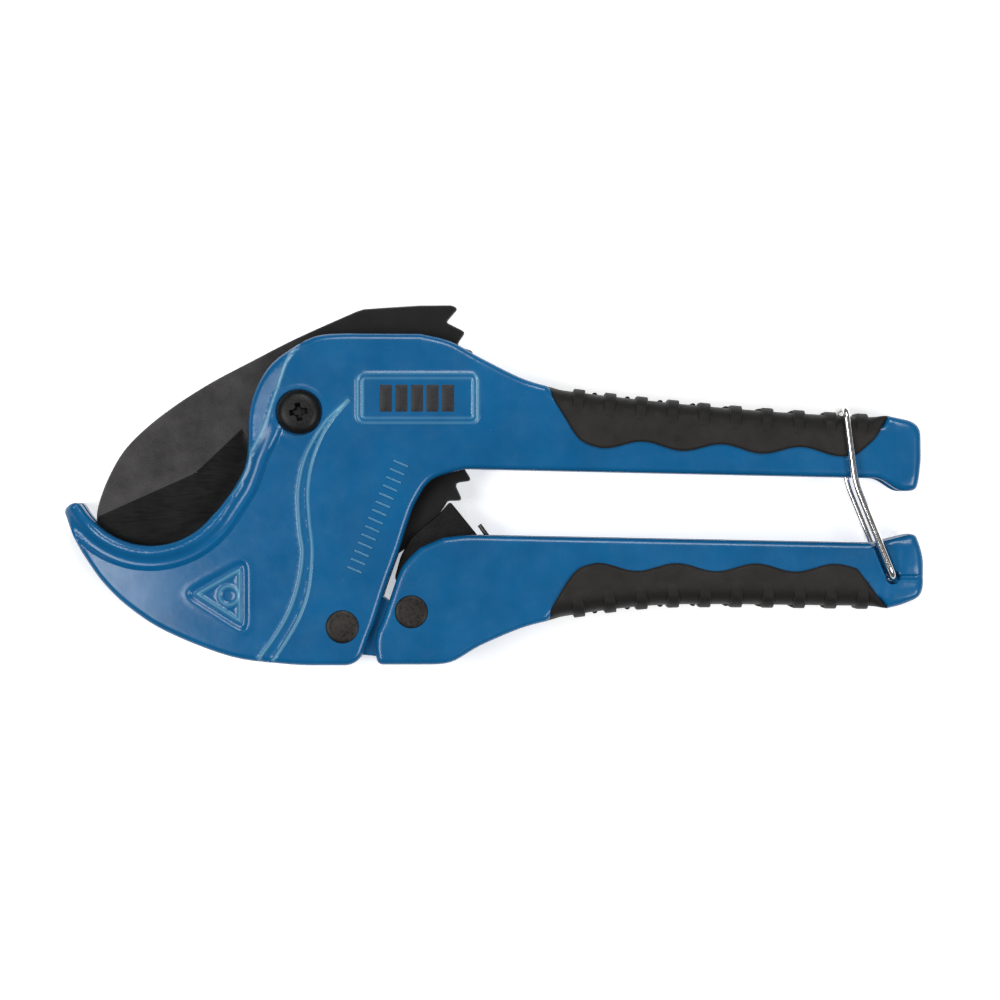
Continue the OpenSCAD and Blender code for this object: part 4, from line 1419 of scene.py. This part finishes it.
screw_low, screw_high = span("blade_screw")
screw_shank_r = 3.0
head_top = screw_high[2]
head_rim = [(screw_head_r - r, head_top - z)
            for r, z in ((0, 1.35), (0.15, 1.05), (0.9, 0.42), (1.5, 0.2), (2.6, 0.06))]
screw = lathe("pivot_screw", pivot, [
    (0, screw_low[2]), (2.6, screw_low[2]), (screw_shank_r, screw_low[2] + 0.4), (screw_shank_r, screw_sink),
    (screw_head_r - 0.1, screw_sink), (screw_head_r, screw_sink + 0.12), *head_rim,
    (1.4, head_top - 0.01), (0, head_top)], count=96)
recess = [wedge_bar(angle, (5.1, 1.55, head_top + 0.3), (3.0, 1.1, head_top - 2.2)) for angle in (8, 98)]
recess.append(lathe("tool", pivot, [(0, head_top - 1.6), (0.9, head_top - 1.5), (1.55, head_top + 0.2),
                                    (0, head_top + 0.3)], count=32))
combine(screw, recess)
dress(screw, screw_steel, angle=30)
place(screw, "frame", "black_steel", "blade_screw")

nut = prism(hexagon(nut_r), nut_low[2], nut_high[2])
nut.name = nut.data.name = "lock_nut"
cone = lathe("tool", pivot, [(0, nut_low[2] - 0.01), (nut_r - 0.75, nut_low[2] - 0.01),
                             (nut_r + 0.2, nut_low[2] + 0.55), (nut_r + 0.2, nut_high[2] + 1),
                             (0, nut_high[2] + 1)], count=72)
combine(nut, [cone], "INTERSECT")
combine(nut, [round_tool(pivot, screw_shank_r, -1, nut_high[2] + 1),
              round_tool(pivot, radius_of("nut_insert"), -1, span("nut_insert")[1][2])])
dress(nut, screw_steel, angle=30)
place(nut, "frame", "black_steel", "blade_nut")

# %% Rivets


def rivet(name, node, body, pin_r):
    """A pin with two low domes, each with a faint rolled edge."""
    low, high = span(node)
    at, r = (low + high)[:2] / 2, (high[0] - low[0]) / 2
    top = [(r, high[2] - rivet_h), (r, high[2] - 0.32), (r - 0.12, high[2] - 0.08), (r - 0.4, high[2] + 0.06),
           (r - 1.1, high[2] + 0.16), (r - 1.4, high[2] + 0.12), (r - 1.8, high[2] + 0.17),
           (r - 2.9, high[2] + 0.24), (0, high[2] + 0.27)]
    bottom = [(q, low[2] + high[2] - z) for q, z in reversed(top)]
    shank = [(pin_r, low[2] + rivet_h), (pin_r, high[2] - rivet_h)]
    piece = lathe(name, at, [*bottom, *shank, *top], count=72)
    dress(piece, rivet_steel, angle=34)
    return place(piece, body, "black_steel", node)


rivet("lever_rivet", "lever_pin", "frame", lever_pin_r)
rivet("pawl_rivet", "pawl_pin", "lever", pawl_pin_r)

# %% [markdown]
# ## Springs and latch
# The springs are torsion springs: a helix round a pin with a straight leg at each end. The latch
# is a single wire bent over the upper handle. Their paths are worked out here and the wire tree
# sweeps them.

# %% Springs
spring_r = 0.6


def helix(centre, radius, start, turns, z_start, z_end, steps=28):
    """Points of a helix; turns below zero run clockwise."""
    count = max(4, int(abs(turns) * steps))
    return [(*polar(centre, radius, start + 360 * turns * k / count), z_start + (z_end - z_start) * k / count)
            for k in range(count + 1)]


lever_coil_r = lever_pin_r + 0.3 + spring_r
spring_foot = lever_at + (18, -lever_coil_r - 0.3)
foot_run = spring_foot - lever_at
leave = math.degrees(math.atan2(foot_run[1], foot_run[0])
                     + math.acos(lever_coil_r / np.linalg.norm(foot_run)))
coil_top, coil_bottom = mid_z + 1.45, mid_z - 1.45
lever_coil = helix(lever_at, lever_coil_r, 90, -(2 + (90 - leave) / 360), coil_top, coil_bottom)
lever_path = [(lever_at[0] - 6.4, lever_at[1] + lever_coil_r, coil_top), *lever_coil,
              (*spring_foot, coil_bottom)]
lever_spring = wire("lever_torsion_spring", lever_path, spring_r, latch_wire, sides=16)
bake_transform(lever_spring)
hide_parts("lever_spring")
report(lever_spring)

pawl_coil_r = pawl_pin_r + 0.3 + spring_r
pawl_coil = helix(pawl_at, pawl_coil_r, 190, 1 + 80 / 360, mid_z + 1.1, mid_z - 0.3)
leg = [(*(pawl_at + q), mid_z) for q in ((15, -3.6), (26, 2.5), (24.6, 13.5), (17.9, 22.9))]
pawl_path = np.array([*pawl_coil, *rounded([pawl_coil[-1], *leg], 4, steps=6, closed=False)[1:]])
pawl_spring = wire("pawl_torsion_spring", pawl_path, spring_r, spring_steel, sides=16)
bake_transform(pawl_spring)
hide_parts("pawl_spring")
report(pawl_spring)

# %% Latch
latch_low, latch_high = span("latch_bail")
wire_gap = 0.4                 # from the upper grip's side to the wire
wire_r = (grip_t / 2 + mid_z + wire_gap - latch_high[2]) / -2
latch_corner = 3.2
knee = latch_at + (-10.1, 24.7)
top = latch_at + (-12.7, 44.6)


def latch_leg(side):
    """The wire's middle line from its end in the lever to the corner over the upper grip."""
    z = mid_z + side * (grip_t / 2 + wire_gap + wire_r)
    return [(*latch_at, z - side * 4.5), (*latch_at, z), (*knee, z), (*top, z)]


latch_path = rounded([*latch_leg(1), *latch_leg(-1)[::-1]], latch_corner, steps=8, closed=False)
print("latch wire radius", round(wire_r, 3), "points", len(latch_path))
latch = wire("latch_wire", latch_path, wire_r, latch_wire, sides=24)
place(latch, "latch", "bright_wire", "latch_bail")

# %% [markdown]
# ## Marks on the head
# A row of raised ticks runs down the head, like the scale on many such tools, and the raised
# frame carries a plain row of printed blocks. Both are copies set along a line by the same tree.

# %% Ticks and printed blocks


def thin_block(name, half_x, half_y, low, high, corner):
    outline = rounded([(-half_x, -half_y), (half_x, -half_y), (half_x, half_y), (-half_x, half_y)], corner, 4)
    return skin(name, outline, lambda p: np.full(len(p), high), lambda p: np.full(len(p), low),
                rim=min(corner, (high - low) * 0.4), step=half_x, edge_step=0.4)


tick = thin_block("tick", 0.38, 2.2, -0.3, 0.32, 0.3)
tick_path = [(*np.array(q), head_t) for q in resample([(14.6, -41.6), (26.8, -13.6)], 2, closed=False)]
ticks = follow("raised_ticks", along_line, tick_path, Shape=tick, Count=14, Material=head_paint)
smooth(ticks, 40)
# The ticks' tops are painted paler: a painted highlight and rubbed paint.
mark(ticks, "wear", lambda p: 0.3 * (p[:, 2] > head_t + 0.2))
place(ticks, "frame", "painted_blue")
remove(tick)

block = thin_block("block", 1.62, 3.55, -0.05, 0.05, 0.25)
block_y = float(plate_mid[1])
block_path = [(x, block_y, head_t + 0.13) for x in np.linspace(22.9, 39.3, 12)]
blocks = follow("printed_blocks", along_line, block_path, Shape=block, Count=5, Material=black_ink)
smooth(blocks, 40)
place(blocks, "frame", "grip_rubber")
remove(block)

# %% [markdown]
# ## Parts kept from the CAD model
# The sleeve, shims, spacers and locking ring are simple turned parts, and their CAD shapes are
# right as they are. They only take a finish.

# %% Finish the CAD parts
for node in ("pivot_bush", "blade_shim_near", "blade_shim_far", "pawl_spacer_near", "pawl_spacer_far"):
    frame["nodes"][node].material_slots[0].material = zinc
frame["nodes"]["nut_insert"].material_slots[0].material = nylon

# %% [markdown]
# ## Floor, light and camera
# The tool lies on a plain pale floor. Its latch wire reaches a little below the casting's back,
# so the floor is tilted by less than a degree to touch the jaw and the wire. Three soft lights
# hang high round it, the floor glows faintly so that it stays pale, and the camera looks straight
# down.

# %% Floor


def plain_floor(name, jaw_x, wire_x, wire_low):
    """A wide floor that passes through z = 0 at jaw_x and z = wire_low at wire_x."""
    slope = wire_low / (wire_x - jaw_x)
    far = 2500
    corners = [(x, y, (x - jaw_x) * slope) for x, y in ((-far, -far), (far, -far), (far, far), (-far, far))]
    made, nodes, links, shader, source = new_finish(name, Roughness=0.9, Specular_IOR_Level=0.1)
    soft = grain(nodes, links, source, 60, 2)
    links.new(tint(nodes, links, soft, [(0.3, (0.9, 0.9, 0.9)), (0.7, (0.915, 0.915, 0.915))]),
              shader.inputs["Base Color"])
    shader.inputs["Emission Color"].default_value = (1, 1, 1, 1)
    shader.inputs["Emission Strength"].default_value = 0.45
    piece = new_piece(name, corners, [(0, 1, 2, 3)], made)
    return piece


plain_floor("pale_floor", -60, 145, latch_low[2])

# %% Lights


def soft_light(name, spot, aim, size, power):
    """A square white light at spot, in millimetres, aimed at a point; power is in watts."""
    lamp = bpy.data.lights.new(name, "AREA")
    lamp.shape = "SQUARE"
    lamp.size = size * MM
    lamp.energy = power
    holder = bpy.data.objects.new(name, lamp)
    bpy.context.scene.collection.objects.link(holder)
    holder.location = Vector(spot) * MM
    holder.rotation_euler = (Vector(aim) - Vector(spot)).to_track_quat("-Z", "Y").to_euler()
    return holder


view = Vector((53, -23.2, 0))
light_high, light_size = 1000, 420
for name, x, y, power in (("left_light", -560, -60, 5.6), ("upper_light", 60, 620, 5.6),
                          ("right_light", 560, -300, 5.0)):
    soft_light(name, view + Vector((x, y, light_high)), view, light_size, power)
sky = bpy.data.worlds.new("room")
sky.use_nodes = True
background = sky.node_tree.nodes["Background"].inputs
background["Color"].default_value = (1, 1, 1, 1)
background["Strength"].default_value = 0.1
bpy.context.scene.world = sky
bpy.context.scene.view_settings.view_transform = "Standard"

# %% Camera
lens = bpy.data.cameras.new("camera")
lens.lens = 119.5
lens.sensor_width = 36
lens.clip_start = 0.01
lens.clip_end = 20
camera = bpy.data.objects.new("camera", lens)
bpy.context.scene.collection.objects.link(camera)
camera_high = 893
camera.location = (view.x * MM, view.y * MM, camera_high * MM)
bpy.context.scene.camera = camera
